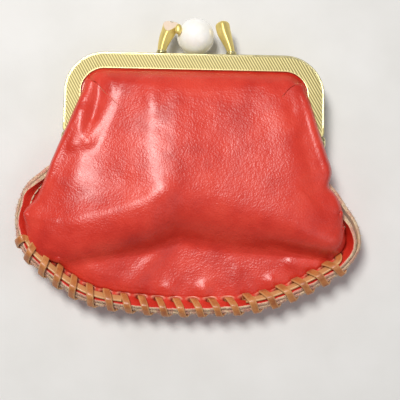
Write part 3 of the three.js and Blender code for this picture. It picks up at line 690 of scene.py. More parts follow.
def open_margin():
    """Stations of the right half's gripped margin and free hinge end: x, y, inward x and y."""
    grip_x, grip_y = FRAME_HALF_WIDTH - GRIP_INSET, FRAME_TOP - GRIP_INSET
    straight_x, straight_y = FRAME_HALF_WIDTH - CORNER_RADIUS, FRAME_TOP - CORNER_RADIUS
    radius = CORNER_RADIUS - GRIP_INSET
    rows = [(x, grip_y, 0, -1) for x in np.arange(0.5, straight_x, 1.0)]
    for angle in np.linspace(0, math.pi / 2, 26):
        dx, dy = math.sin(angle), math.cos(angle)
        rows.append((straight_x + radius * dx, straight_y + radius * dy, -dx, -dy))
    rows += [(grip_x, y, -1, 0) for y in np.arange(straight_y - 0.8, 9.6, -0.8)]
    free_end = centripetal([(grip_x, 9.5), (46.2, 6), (45.4, 1), (43.9, -4.6)], 7)
    rows += [(x, y, -1, 0) for x, y in free_end]
    return np.array(rows)


def mixed(a, b, share):
    """Sections blended station by station."""
    a, b = np.array(a), np.array(b)
    return a[None] + (b - a)[None] * np.asarray(share)[:, None, None]


def panel_rows(facing):
    """Middle surface of a panel: rows of points from its margin to its middle."""
    right = open_margin()
    left = (right * [-1, 1, -1, 1])[::-1]
    seam_s = np.arange(SEAM_LENGTH, 0, -STATION_STEP)
    f = seam_frame(seam_s)
    is_seam = np.concatenate([np.zeros(len(right)), np.ones(len(seam_s)), np.zeros(len(left))]) > 0
    start = np.vstack([right[:, :2], f["point"][:, :2], left[:, :2]])
    inward = np.vstack([right[:, 2:], -f["out"][:, :2], left[:, 2:]])
    x, y = start.T
    count = len(start)
    distance = np.full(count, -100.0)
    distance[is_seam] = seam_s

    side = np.sign(x)
    layer = facing * (LEATHER + LAYER_GAP) / 2
    point_z, normal = np.zeros(count), np.zeros((count, 3))
    flange = np.zeros((count, 3))
    point_z[is_seam], normal[is_seam], flange[is_seam] = f["point"][:, 2], f["normal"], f["flange"]
    grip_z = facing * lerp(1, GRIP_Z, smooth(-4, 9, y))
    base = np.where(is_seam, point_z + layer * np.maximum(0.5, normal[:, 2]), grip_z)

    # margin: raw edge, then either side of the fold or of the channel's mouth
    flat = np.full(count, facing * 3.0)
    edge_wave = 0.26 * waves(distance, flat, 6, 11) + 0.14 * waves(distance, flat, 1.8, 12, 2)
    fold = np.column_stack([start, point_z]) + normal * layer
    splay = facing * SPLAY * smooth(-44, -36, y) * smooth(-12, -20, y) * np.where(side > 0, 1, 0.1)
    flange_out = (flange_width(y) + edge_wave)[:, None] * flange
    inward3 = np.column_stack([inward, np.zeros(count)])
    grip = np.column_stack([start, base])
    depth = lerp(1.5, 4.0, smooth(2, 10, y))[:, None]
    seam = is_seam[:, None]
    near_fold = 0.8 * flange * (flange_width(y) / FLANGE)[:, None]
    controls = [
        np.where(seam, fold + flange_out + normal * splay[:, None], grip),
        np.where(seam, fold + near_fold, grip + depth * 0.8 * inward3),
        np.where(seam, fold + 0.9 * inward3, grip + depth * inward3),
    ]

    # sections
    rise = bottomness(y)
    if facing > 0:
        by_side = mixed(FRONT_LEFT, FRONT_RIGHT, side > 0)
        seam_section = by_side + (np.array(FRONT_BOTTOM)[None] - by_side) * rise[:, None, None]
        below_hinge = smooth(-8, -14, y) * smooth(-22, -16, y)
        right_slack = (lerp(-3.7, -2.3, smooth(-20, -31, y)) + 1.3 * below_hinge) * (1 - rise)
        left_slack = 1.6 * smooth(-30, -22, y) - LEFT_BULGE * smooth(-25, -31, y) * smooth(-53, -44, y)
        seam_section[:, 1:4, 0] += np.where(side > 0, right_slack, left_slack)[:, None]
        open_section = mixed(FRONT_TOP, FRONT_LEG, smooth(26, 19, y))
    else:
        near_hinge = smooth(-14, -4, y)[:, None, None]
        seam_section = mixed(BACK_SIDE, BACK_BOTTOM, rise)
        seam_section = seam_section + (np.array(BACK_LEG)[None] - seam_section) * 0.4 * near_hinge
        open_section = mixed(BACK_TOP, BACK_LEG, smooth(26, 19, y))
    section = np.where(is_seam[:, None, None], seam_section, open_section)

    xy, share = [c[:, :2] for c in controls], [np.zeros(count)] * 3
    to_centre = unit(PANEL_CENTRE - start)
    low = [c[:, 2] for c in controls]
    widest = np.where(side < 0, table_curve(WIDEST_LEFT, y), table_curve(WIDEST_RIGHT, y))
    over_leg = smooth(26, 19, y) * smooth(-21, -11, y) if facing > 0 else np.zeros(count)
    for k in range(6):
        d, s = section[:, k, 0], section[:, k, 1]
        way = unit(lerp(inward, to_centre, smooth(3, 14, d)[:, None]))
        place = start + way * d[:, None]
        if facing > 0:
            leg_d, leg_s = FRONT_LEG[k]
            if k < 2:
                leg_d *= lerp(0.5, 1, smooth(2, 10, y))
                leg_place = start + np.column_stack([-side * leg_d, np.zeros(count)])
            else:
                brow_point = np.column_stack([side * widest, y])
                way = unit(lerp(np.column_stack([-side, np.zeros(count)]), to_centre, smooth(3, 14, leg_d)))
                leg_place = brow_point + way * leg_d
            place = lerp(place, leg_place, over_leg[:, None])
            s = lerp(s, leg_s, over_leg)
        xy.append(place)
        share.append(s)
        low.append(base)

    # ease the stations into each other, away from the margin itself
    kernel = np.exp(-((np.arange(-9, 10) / 4.0) ** 2))
    kernel /= kernel.sum()

    def eased(a):
        padded = np.concatenate([a[-9:], a, a[:9]])
        return np.apply_along_axis(lambda c: np.convolve(c, kernel, "valid"), 0, padded)

    for k in range(3, 9):
        xy[k], share[k] = eased(xy[k]), eased(share[k])
    low[3:] = [eased(b) for b in low[3:]]

    channel = np.stack([np.column_stack([p, b, s]) for p, b, s in zip(xy, low, share)], 1)
    rows = [resample(channel, ROW_STEPS[:-1])]
    rim = channel[:, -1]
    for t in np.linspace(0, 0.97, ROW_STEPS[-1])[1:]:
        ring = rim.copy()
        ring[:, :2] = lerp(rim[:, :2], PANEL_CENTRE, t)
        rows.append(ring[:, None])
    grid = np.concatenate(rows, 1)
    height = belly_height if facing > 0 else back_height
    z = lerp(grid[..., 2], height(grid[..., 0], grid[..., 1]), np.clip(grid[..., 3], 0, 1))
    surface = np.dstack([grid[..., 0], grid[..., 1], z])
    return surface, distance


def knot_span(a, b):
    """Spacing of two columns of control points along a centripetal curve."""
    return np.maximum(np.linalg.norm((b - a)[:, :3], axis=1), 0.05)[:, None] ** 0.5


def resample(controls, steps):
    """Catmull-Rom rows through each station's control points."""
    out = []
    count = controls.shape[1]
    for k in range(count - 1):
        p0, p1 = controls[:, max(k - 1, 0)], controls[:, k]
        p2, p3 = controls[:, k + 1], controls[:, min(k + 2, count - 1)]
        d0, d1, d2 = knot_span(p0, p1), knot_span(p1, p2), knot_span(p2, p3)
        m1 = ((p1 - p0) / d0 - (p2 - p0) / (d0 + d1) + (p2 - p1) / d1) * d1 if k else (p2 - p1)
        m2 = ((p2 - p1) / d1 - (p3 - p1) / (d1 + d2) + (p3 - p2) / d2) * d1 if k < count - 2 else (p2 - p1)
        for t in np.arange(steps[k]) / steps[k]:
            out.append(hermite(p1, p2, m1, m2, t))
    out.append(controls[:, -1])
    return np.stack(out, 1)


def surface_normals(surface):
    """Unit normals of a grid that is closed from its last station to its first."""
    round_margin = np.roll(surface, -1, 0) - np.roll(surface, 1, 0)
    inwards = np.gradient(surface, axis=1)
    return unit(np.cross(inwards, round_margin))


def leather_panel(name, facing):
    surface, distance = panel_rows(facing)
    normals = surface_normals(surface)
    if normals[:, -6:, 2].mean() * facing < 0:
        normals = -normals
    stations, rings = surface.shape[:2]

    # distance along each row from the fold: positive out to the raw edge
    fold_ring = ROW_STEPS[0] + 2
    steps = np.linalg.norm(np.diff(surface, axis=1), axis=2)
    run = np.concatenate([np.zeros((stations, 1)), np.cumsum(steps, 1)], 1)
    past = run[:, fold_ring : fold_ring + 1] - run
    along = distance[:, None] - HOLE_STATIONS[None]
    nearest = along[np.arange(stations), np.argmin(np.abs(along), 1)][:, None]
    laced = smooth(-2, 1, distance - HOLE_STATIONS[0] + 3) * smooth(2, -1, distance - HOLE_STATIONS[-1] - 3)
    # hole marks each lace hole: a shallow dent, painted near black as painted shade
    hole = np.exp(-((nearest / 1.75) ** 4) - (((past - HOLE_LINE) / 0.85) ** 4))
    ring = np.hypot(nearest / 2.0, (past - HOLE_LINE) / 1.55)
    arch = np.exp(-(((ring - 1.12) / 0.3) ** 2)) * smooth(HOLE_LINE + 0.6, HOLE_LINE - 0.6, past)
    # the arch above each hole bulges a little and is painted pale, a painted highlight on the pucker
    pucker_highlight = arch * laced[:, None] * (facing > 0)
    surface = surface + normals * (0.38 * pucker_highlight - 0.75 * hole)[..., None]
    scallop = 0.22 * np.cos(nearest / LACING_PITCH * 2 * math.pi) * laced[:, None]
    surface = surface - normals * (scallop * smooth(6.5, 0, np.abs(past - 1)) * (past < 5.5))[..., None]
    pucker_highlight = pucker_highlight * (0.7 + 0.3 * waves(surface[..., 0], surface[..., 1], 3, 21))
    outer = surface + normals * LEATHER / 2
    inner = surface - normals * LEATHER / 2
    centre = surface[:, -1].mean(0)
    lift = np.array([0, 0, facing * LEATHER / 2])
    points = np.vstack([outer.reshape(-1, 3), inner.reshape(-1, 3), centre + lift, centre - lift])
    layer = stations * rings
    quads = grid_faces(stations, rings, True, False)
    faces = [tuple(q) for q in quads] + [tuple(q[::-1] + layer) for q in quads]
    kinds = [0] * len(quads) + [1] * len(quads)
    first = np.arange(stations) * rings
    after = np.roll(first, -1)
    last, last_after = first + rings - 1, after + rings - 1
    faces += [(a, b, b + layer, a + layer) for a, b in zip(first, after)]
    kinds += [2] * stations
    faces += [(a, b, 2 * layer) for a, b in zip(last_after, last)]
    faces += [(b + layer, a + layer, 2 * layer + 1) for a, b in zip(last_after, last)]
    kinds += [0] * stations + [1] * stations
    turned = outward(points, faces)
    attributes = {
        # painted highlight on the puckers above the holes
        "pucker_highlight": np.concatenate([np.clip(pucker_highlight, 0, 1).ravel(), np.zeros(layer + 2)]),
        # painted shade in the lace holes
        "hole": np.concatenate([np.clip(hole, 0, 1).ravel() * 0.95, np.zeros(layer + 2)]),
    }
    piece = make_mesh(name, points, turned, [RED, FLESH, RAW], kinds, attributes)
    rest = piece.data.attributes.new("rest", "FLOAT_VECTOR", "POINT")
    rest.data.foreach_set("vector", (np.asarray(points) * MM).astype(np.float32).ravel())
    return piece, surface, normals, distance


front_leather, front_surface, front_normals, station_distance = leather_panel("front_leather", 1)
back_leather, back_surface, back_normals, _ = leather_panel("back_leather", -1)


FIBRES = 8  # tries per station and layer
FIBRES_SKIPPED = 0.35  # share of the tries that leave a gap
FIBRE_ROOT = 0.15  # how deep in the cut edge a fibre starts
FIBRE_SHORTEST = 0.6
FIBRE_SPREAD = 1.2  # how much longer than the shortest a fibre can be
FIBRE_RADIUS = 0.055


def raw_fibres():
    """Loose fibres of the flesh side that stand out of the cut edges along the seam."""
    points, faces = [], []
    laced = np.flatnonzero(station_distance > 12)
    for surface, normals in ((front_surface, front_normals), (back_surface, back_normals)):
        for i in laced:
            for _ in range(FIBRES):
                if random.random() < FIBRES_SKIPPED:
                    continue
                edge, inner = surface[i, 0], surface[i, 1]
                out = unit(edge - inner)
                across = normals[i, 0]
                along = unit(np.cross(out, across))
                root = edge - FIBRE_ROOT * out + across * random.uniform(-0.65, 0.65)
                root = root + along * random.uniform(-0.4, 0.4)
                way = unit(out + across * random.normal(0, 0.5) + along * random.normal(0, 0.6))
                bend = along * random.normal(0, 0.25) + across * random.normal(0, 0.2)
                length = FIBRE_SHORTEST + FIBRE_SPREAD * random.random() ** 2
                start = len(points)
                for step, width in ((0.0, 1.0), (0.5, 0.7), (1.0, 0.15)):
                    middle = root + way * length * step + bend * length * step**2
                    for turn in range(3):
                        a = turn * 2 * math.pi / 3
                        ray = math.cos(a) * across + math.sin(a) * along
                        points.append(middle + FIBRE_RADIUS * width * ray)
                for ring in (0, 3):
                    for turn in range(3):
                        a, b = start + ring + turn, start + ring + (turn + 1) % 3
                        faces.append((a, b, b + 3, a + 3))
                faces.append((start + 2, start + 1, start))
                faces.append((start + 6, start + 7, start + 8))
    points = np.array(points)
    piece = make_mesh("raw_edge_fibres", points, faces, [RAW])
    rest = piece.data.attributes.new("rest", "FLOAT_VECTOR", "POINT")
    rest.data.foreach_set("vector", (points * MM).astype(np.float32).ravel())
    return piece


edge_fibres = raw_fibres()

# ---- lace ---------------------------------------------------------------------------------

LACE_RUN = FLANGE_HALF + LACE_CLEARANCE + LACE_THICKNESS / 2


def lace_path():
    """The lace: a tail under the first stitches, a turn per hole, and a tail tucked back."""
    lift = LACE_THICKNESS + CLEARANCE
    edge = FLANGE + LACE_CLEARANCE + LACE_THICKNESS / 2
    first, last = HOLE_STATIONS[0], HOLE_STATIONS[-1]
    reach = TAIL_STITCHES * LACING_PITCH
    path = []  # distance, past, above, width along, width past, pinch, tail

    def add(distance, past, above, along, across, pinch=0.0, tail=0.0):
        path.append((distance, past, above, along, across, pinch, tail))

    for s in np.linspace(first + reach, first - 1.2, 10):
        add(s, TAIL_OFFSET, LACE_RUN, 0, 1, 0, 1)
    turn = LACE_RUN + 0.3
    add(first - 2.0, TAIL_OFFSET + 0.4, turn, 0.5, 1)
    add(first - 2.6, TAIL_OFFSET + 1.3, turn, 1, 0.4)
    add(first - 2.7, edge - 0.6, turn, 1, 0)
    add(first - 2.6, edge + 0.1, turn - 0.9, 1, 0)
    add(first - 2.4, edge + 0.2, 0, 1, 0)
    for k, s in enumerate(HOLE_STATIONS):
        over_tail = k < TAIL_STITCHES or k >= STITCHES - TAIL_STITCHES
        above = LACE_RUN + (lift if over_tail else 0)
        lead = LACING_PITCH - LACE_LEAN - 0.8 if k else 2.1
        add(s - lead, edge - 0.15, -LACE_RUN + 0.8, 1, 0)
        add(s - lead + 0.3, edge - 0.9, -LACE_RUN, 1, 0)
        add(s - 0.45, HOLE_LINE + 0.8, -LACE_RUN, 1, 0)
        add(s - 0.1, HOLE_LINE, -LACE_RUN + 0.75, 1, 0, 1)
        if k == STITCHES:
            break
        add(s + 0.1, HOLE_LINE, above - 0.75, 1, 0, 1)
        add(s + 0.45, HOLE_LINE + 0.8, above, 1, 0, 0.3)
        add(s + LACE_LEAN - 0.4, edge - 0.9, above, 1, 0)
        add(s + LACE_LEAN, edge - 0.15, above - 0.8, 1, 0)
        add(s + LACE_LEAN + 0.4, edge, 0, 1, 0)
    add(last, HOLE_LINE, LACE_RUN - 0.75, 1, 0, 1)
    add(last - 0.2, HOLE_LINE + 0.9, LACE_RUN, 1, 0.4)
    add(last - 1.2, TAIL_OFFSET - 0.5, LACE_RUN, 0.5, 1)
    for s in np.linspace(last - 2.6, last - reach, 10):
        add(s, TAIL_OFFSET, LACE_RUN, 0, 1, 0, 1)
    return np.array(path)


# Half widths and half thicknesses round the lace, and how much of its cut edge shows there.
LACE_OUTLINE = [
    (-1, -0.5, 1), (-0.9, -0.95, 0.5), (-0.5, -1, 0), (0, -1, 0), (0.5, -1, 0), (0.9, -0.95, 0.5),
    (1, -0.5, 1), (1, 0.35, 1), (0.93, 0.78, 0.6), (0.6, 0.98, 0), (0, 1.06, 0), (-0.6, 0.98, 0),
    (-0.93, 0.78, 0.6), (-1, 0.35, 1),
]


def make_lace():
    coarse = lace_path()
    spine = seam_points(coarse[:, 0], coarse[:, 1], coarse[:, 2])
    fine = centripetal(np.column_stack([spine, coarse]), 6)
    origins, path = fine[:, :3], fine[:, 3:]
    along = unit(np.gradient(origins, axis=0))
    f = seam_frame(path[:, 0])
    width = f["along"] * path[:, 3:4] + f["flange"] * path[:, 4:5]
    across = unit(width - along * np.sum(width * along, 1)[:, None])
    for _ in range(3):
        across[1:-1] = unit(across[:-2] + 2 * across[1:-1] + across[2:])
    across = unit(across - along * np.sum(across * along, 1)[:, None])
    up = np.cross(along, across)
    count = len(origins)
    wobble = waves(np.arange(count) * 0.35, np.zeros(count), 9, 31)
    half = LACE_WIDTH / 2 * (1 + 0.07 * wobble) * (1 - 0.12 * path[:, 5])
    thick = LACE_THICKNESS / 2 * (1 + 0.08 * waves(np.arange(count) * 0.35, np.ones(count), 6, 33))
    outline = np.array([(x, z) for x, z, _ in LACE_OUTLINE])
    cut = [edge for _, _, edge in LACE_OUTLINE]
    sections = outline[None] * np.stack([half, thick], 1)[:, None]
    points, faces = sweep(origins, across, up, sections)
    attributes = {"cut": np.tile(cut, count) * 0.8, "tail": np.repeat(path[:, 6] * 0.5, len(outline))}
    return make_mesh("whip_stitch_lace", points, faces, [LACE], attributes=attributes)


lace = make_lace()


def seam_thread(side):
    """Two-ply thread of the side seam's lock-stitch, one thread on each face."""
    run = FLANGE_HALF + 0.25
    holes = np.linspace(15, LACING_START - (4 if side < 0 else 12), THREAD_HOLES)
    holes = holes if side < 0 else SEAM_LENGTH - holes
    half_stitch = (holes[1] - holes[0]) / 2
    solids = []
    for face in (-1, 1):
        knots = [(holes[0], THREAD_LINE, face * (run - 1.0))]
        for s in holes[:-1]:
            knots.append((s + 0.3 * half_stitch, THREAD_LINE, face * (run - 0.3)))
            knots.append((s + half_stitch, THREAD_LINE + 0.12, face * run))
            knots.append((s + 1.7 * half_stitch, THREAD_LINE, face * (run - 0.3)))
            knots.append((s + 2 * half_stitch, THREAD_LINE, face * (run - 1.0)))
        knots = np.array(knots)
        line = centripetal(seam_points(knots[:, 0], knots[:, 1], knots[:, 2]), 6)
        along = unit(np.gradient(line, axis=0))
        across = unit(np.cross(along, [0.1, 0.2, 1.0]))
        up = np.cross(along, across)
        twist = np.arange(len(line)) * 0.8
        angles = np.arange(10) * 2 * math.pi / 10
        radius = THREAD_RADIUS * (1 + 0.22 * np.cos(2 * (angles[None] + twist[:, None])))
        sections = np.dstack([radius * np.cos(angles), radius * np.sin(angles)])
        solids.append(sweep(line, across, up, sections))
    points, faces = merge(*solids)
    return make_mesh(f"seam_stitching_{SIDES[side]}", points, faces, [THREAD])


# ---- frame --------------------------------------------------------------------------------


def channel_stations(inset, step):
    """Points, inward directions and arc position round the U of the channel."""
    straight_x, straight_y = FRAME_HALF_WIDTH - CORNER_RADIUS, FRAME_TOP - CORNER_RADIUS
    legs = np.linspace(LEG_END, straight_y, max(int((straight_y - LEG_END) / step), 2))[:-1]
    corner = np.linspace(0, math.pi / 2, max(int(CORNER_RADIUS * math.pi / 2 / step), 6))
    top = np.linspace(-straight_x, straight_x, max(int(2 * straight_x / step), 2))[1:-1]
    radius = CORNER_RADIUS - inset
    rows = [(-(FRAME_HALF_WIDTH - inset), y, 1, 0) for y in legs]
    for a in corner:
        dx, dy = math.cos(a), math.sin(a)
        rows.append((-straight_x - radius * dx, straight_y + radius * dy, dx, -dy))
    rows += [(x, FRAME_TOP - inset, 0, -1) for x in top]
    for a in corner:
        dx, dy = math.sin(a), math.cos(a)
        rows.append((straight_x + radius * dx, straight_y + radius * dy, -dx, -dy))
    rows += [(FRAME_HALF_WIDTH - inset, y, -1, 0) for y in legs[::-1]]
    return np.array(rows)


RIB_PITCH = 0.95
RIB_DEPTH = 0.11
RIB_ANGLE = math.radians(30)  # of the direction across the ribs, above +X


def band_ribs(x, y, d):
    """Engine-turned ribs of the band's face: 0 on the crest and 1 in the groove."""
    phase = (x * math.cos(RIB_ANGLE) + y * math.sin(RIB_ANGLE)) / RIB_PITCH
    groove = 0.5 - 0.5 * np.cos(2 * math.pi * phase)
    inside = smooth(0.75, 1.15, d) * smooth(BAND - 0.35, BAND - 0.75, d)
    return groove**1.5 * inside


def channel(facing, step):
    """Half of the frame: a folded channel with a rolled border and a ribbed face."""
    inner, outer = SPLIT_GAP, SPLIT_GAP + CHANNEL_DEPTH
    back = [(0.25, inner), (BAND - 0.15, inner), (BAND, inner + 0.15), (BAND, inner + WALL - 0.15),
            (BAND - 0.15, inner + WALL), (WALL + 0.2, inner + WALL), (WALL, inner + WALL + 0.2),
            (WALL, outer - WALL - 0.2), (WALL + 0.2, outer - WALL), (BAND - 0.5, outer - WALL),
            (BAND - 0.1, outer - WALL + 0.12), (BAND, outer - WALL + 0.33)]
    lip = [(BAND - 0.08, outer - 0.1), (BAND - 0.25, outer)]
    face = [(d, outer + 0.06 * math.sin((d - 0.9) / (BAND - 1.2) * math.pi))
            for d in np.linspace(BAND - 0.4, 0.95, 40)]
    roll = [(0.45 - (0.45 if a > 0 else 0.4) * math.sin(a), outer - 0.5 + 0.5 * math.cos(a))
            for a in np.linspace(-1.0, math.pi / 2, 9)]
    section = np.array(back + lip + face + roll + [(0, inner + 0.3)])
    stations = channel_stations(0, step)
    origins = np.column_stack([stations[:, :2], np.zeros(len(stations))])
    across = np.column_stack([stations[:, 2:], np.zeros(len(stations))])
    up = np.tile([0.0, 0.0, 1.0], (len(stations), 1))
    sections = np.repeat(section[None] * [1, facing], len(stations), 0)
    plan = origins[:, None, :2] + across[:, None, :2] * sections[..., :1]
    on_face = np.zeros(len(section))
    on_face[len(back) + len(lip) : len(back) + len(lip) + len(face)] = 1
    groove = band_ribs(plan[..., 0], plan[..., 1], sections[..., 0]) * on_face
    sections[..., 1] -= facing * RIB_DEPTH * groove
    points, faces = sweep(origins, across, up, sections)
    return points, faces, groove.ravel(), np.tile(on_face, len(stations))


EAR_SIDES = 72
EAR_EDGE = 0.12  # bevel round the plate


def ear(facing, side):
    """Hinge plate at the end of a leg, round about the rivet, with its hole."""
    outer = FRAME_HALF_WIDTH - (EAR_INSET if facing < 0 else EAR_THICKNESS + CLEARANCE)
    z_low, z_high = sorted((facing * CLEARANCE, facing * (SPLIT_GAP + CHANNEL_DEPTH - WALL)))
    top = LEG_END + 4.0
    outline = []
    for a in np.linspace(0, 2 * math.pi, EAR_SIDES, endpoint=False):
        dy, dz = math.cos(a), math.sin(a)
        reach = EAR_RADIUS
        if dy > 0:  # towards the leg the plate is as wide as the channel is deep
            limits = [top / dy]
            if abs(dz) > 1e-6:
                limit = (z_high if dz > 0 else z_low) / dz
                limits.append(limit)
            reach = max(min(limits), EAR_RADIUS)
        outline.append((reach * dy, reach * dz))
    outline = np.array(outline)
    hole = unit(outline) * RIVET_HOLE_RADIUS
    loops = []
    inner = outer - EAR_THICKNESS
    for x, shrink in ((outer, EAR_EDGE), (outer - EAR_EDGE, 0), (inner + EAR_EDGE, 0), (inner, EAR_EDGE)):
        rim = outline * (1 - shrink / np.linalg.norm(outline, axis=1))[:, None]
        loops.append(np.column_stack([np.full(EAR_SIDES, side * x), rim]))
    for x in (inner, outer):
        loops.append(np.column_stack([np.full(EAR_SIDES, side * x), hole]))
    points = np.vstack(loops)
    faces = [tuple(f) for f in grid_faces(len(loops), EAR_SIDES, True, True)]
    return points, outward(points, faces)


TONGUE_END = 1.0
TONGUE_RADIUS = 2.2
EDGE_ROUND = 0.45


def tongue(side, step):
    """The face of a front leg, carried on past the channel's end over the hinge and rounded off."""
    top = SPLIT_GAP + CHANNEL_DEPTH
    ys = np.arange(LEG_END + 0.2, TONGUE_END, -step)
    width = np.linspace(0, 1, 48)
    rows, grooves, ribbed = [], [], []
    for y in ys:
        t = max(TONGUE_RADIUS - (y - TONGUE_END), 0)
        inset = TONGUE_RADIUS - math.sqrt(TONGUE_RADIUS**2 - t**2)
        d = lerp(inset, BAND - inset, width)
        from_edge = np.minimum(d - inset, BAND - inset - d)
        drop = EDGE_ROUND - np.sqrt(EDGE_ROUND**2 - np.maximum(EDGE_ROUND - from_edge, 0) ** 2)
        x = side * (FRAME_HALF_WIDTH - d)
        groove = band_ribs(x, y, d) * smooth(0, 1, from_edge)
        above = np.column_stack([x, np.full(len(d), y), top - drop - RIB_DEPTH * groove])
        below = np.column_stack([x[::-1], np.full(len(d), y), np.full(len(d), top - WALL)])
        rows.append(np.vstack([above, below]))
        grooves.append(np.concatenate([groove, np.zeros(len(d))]))
        ribbed.append(np.concatenate([smooth(0, 0.4, from_edge), np.zeros(len(d))]))
    points = np.vstack(rows)
    count = 2 * len(width)
    last = (len(ys) - 1) * count
    faces = [tuple(f) for f in grid_faces(len(ys), count, False, True)]
    faces += [tuple(range(count)), tuple(reversed(range(last, last + count)))]
    return points, outward(points, faces), np.concatenate(grooves), np.concatenate(ribbed)


def make_frame(name, facing, step):
    parts = [channel(facing, step)]
    if facing > 0:
        parts += [tongue(-1, step), tongue(1, step)]
    for side in (-1, 1):
        points, faces = ear(facing, side)
        parts.append((points, faces, np.zeros(len(points)), np.zeros(len(points))))
    points, faces = merge(*[part[:2] for part in parts])
    groove = np.concatenate([part[2] for part in parts])
    ribbed = np.concatenate([part[3] for part in parts])
    # groove carries the painted shade of the rib grooves
    return make_mesh(name, points, faces, [GOLD], attributes={"groove": groove * 0.62, "ribbed": ribbed})


front_metal = make_frame("front_frame_gilt", 1, 0.13)
back_metal = make_frame("back_frame_gilt", -1, 0.2)


def rivet(side):
    head_inner = FRAME_HALF_WIDTH - 2 * EAR_THICKNESS - 2 * CLEARANCE
    head_outer = FRAME_HALF_WIDTH + CLEARANCE
    dome = [(RIVET_HEAD_RADIUS * math.sin(a), head_outer + 0.9 - 0.9 * (1 - math.cos(a)))
            for a in np.linspace(0, math.pi / 2, 10)]
    profile = [(0, head_inner - 0.8), (RIVET_HEAD_RADIUS - 0.6, head_inner - 0.75),
               (RIVET_HEAD_RADIUS - 0.1, head_inner - 0.45), (RIVET_HEAD_RADIUS, head_inner - 0.1),
               (RIVET_HEAD_RADIUS - 0.1, head_inner), (RIVET_RADIUS, head_inner), (RIVET_RADIUS, head_outer),
               (RIVET_HEAD_RADIUS - 0.1, head_outer)] + dome[::-1]
    points, faces = lathe(profile, np.zeros(3), (side, 0, 0), 40)
    return make_mesh(f"hinge_rivet_head_{SIDES[side]}", points, faces, [GOLD])


def packing(facing):
    """Two-ply twisted paper that wedges the leather into the channel."""
    stations = channel_stations(4.3, 0.8)
    keep = stations[:, 1] > 9.5
    stations = stations[keep]
    middle = facing * (SPLIT_GAP + WALL + 0.25 + 0.75)
    origins = np.column_stack([stations[:, :2], np.full(len(stations), middle)])
    across = np.column_stack([stations[:, 2:], np.zeros(len(stations))])
    up = np.tile([0.0, 0.0, 1.0], (len(stations), 1))
    angles = np.arange(14) * 2 * math.pi / 14
    twist = np.arange(len(stations)) * 0.42
    radius = 0.66 * (1 + 0.13 * np.cos(2 * (angles[None] - twist[:, None])))
    sections = np.dstack([radius * np.cos(angles), radius * np.sin(angles)])
    points, faces = sweep(origins, across, up, sections)
    return make_mesh("paper_cord_front" if facing > 0 else "paper_cord_back", points, faces, [PAPER])


# ---- clasp --------------------------------------------------------------------------------


def pearl_ball():
    """The ball, with the mould line that a lacquered plastic bead has."""
    peg_foot = np.array([0, FRAME_TOP, -2.4])
    axis = unit(BALL_CENTRE - peg_foot)
    profile = []
    for a in np.linspace(math.pi, 0, 64):
        seam = 0.03 * math.exp(-(((a - math.pi / 2) / 0.04) ** 2))
        profile.append(((BALL_RADIUS + seam) * math.sin(a), BALL_RADIUS * math.cos(a)))
    profile[0], profile[-1] = (0, -BALL_RADIUS), (0, BALL_RADIUS)
    points, faces = lathe(profile, BALL_CENTRE, axis, 96)
    return make_mesh("pearl_ball", points, faces, [PEARL])


HORN_SPINES = {
    -1: [(-13.1, 34.2, 2.6), (-12.6, 37.0, 2.1), (-11.7, 40.0, 1.6), (-10.5, 43.0, 1.2), (-9.9, 45.4, 1.0)],
    1: [(14.0, 34.3, 2.6), (13.2, 37.0, 2.1), (12.1, 40.0, 1.6), (11.0, 43.0, 1.2), (10.5, 45.2, 1.0)],
}
HORN_RADII = {
    -1: [(0, 1.6), (0.25, 2.0), (0.5, 2.5), (0.75, 2.9), (1.0, 3.0)],
    1: [(0, 1.45), (0.25, 1.8), (0.5, 2.3), (0.75, 2.7), (1.0, 2.8)],
}
HORN_FOLD = 1.5  # how square the section is: 1 is a diamond, 2 is round
HORN_TIP = [(0.5, 0.99), (0.95, 0.94), (1.35, 0.84), (1.6, 0.7), (1.72, 0.5), (1.76, 0.25)]
CUT_POINT = np.array([-10.4, 42.7, 3.6])
CUT_NORMAL = np.array([-0.03, 0.6, 0.8])
LUG_CENTRE = np.array([-6.7, 42.7, 4.3])
LUG_RADII = np.array([1.35, 2.1, 1.05])


def lug():
    """Rounded lug on the inner edge of the left horn, over the side of the ball."""
    profile = [(math.sin(a), -math.cos(a)) for a in np.linspace(0, math.pi, 22)]
    points, faces = lathe(profile, np.zeros(3), (0, 1, 0), 32)
    return points * LUG_RADII + LUG_CENTRE, faces


def rounded_bar(line, radii, outline, tip):
    """A bar along a line whose end is rounded off by the tip's steps."""
    along = unit(np.gradient(line, axis=0))
    across = unit(np.cross(along, [0.0, 0.0, 1.0]))
    up = np.cross(across, along)
    sections = radii[:, None, None] * outline[None]
    origins = [*line] + [line[-1] + along[-1] * ahead for ahead, _ in tip]
    shapes = [*sections] + [sections[-1] * share for _, share in tip]
    across = np.vstack([across, np.repeat(across[-1:], len(tip), 0)])
    up = np.vstack([up, np.repeat(up[-1:], len(tip), 0)])
    return sweep(np.array(origins), across, up, np.array(shapes))


def horn(side):
    """A tapered horn with a crease along its face; the left one is cut flat and has a lug."""
    line = centripetal(HORN_SPINES[side], 16)
    angles = np.arange(72) * 2 * math.pi / 72
    shape = (np.abs(np.cos(angles)) ** HORN_FOLD + np.abs(np.sin(angles)) ** HORN_FOLD) ** (-1 / HORN_FOLD)
    outline = np.column_stack([np.cos(angles) * shape, np.sin(angles) * shape])
    radii = table_curve(HORN_RADII[side], np.linspace(0, 1, len(line)))
    points, faces = rounded_bar(line, radii, outline, HORN_TIP)
    facet_highlight = np.zeros(len(points))
    if side < 0:
        normal = unit(CUT_NORMAL)
        past = np.maximum((points - CUT_POINT) @ normal, 0)
        points = points - past[:, None] * normal
        # painted highlight and reflection on the cut facet
        facet_highlight = smooth(0.0, 0.25, past)
        extra = lug()
        facet_highlight = np.concatenate([facet_highlight, np.zeros(len(extra[0]))])
        points, faces = merge((points, faces), extra)
    return make_mesh(f"clasp_horn_{SIDES[side]}", points, faces, [HORN_GOLD], attributes={"facet_highlight": facet_highlight})


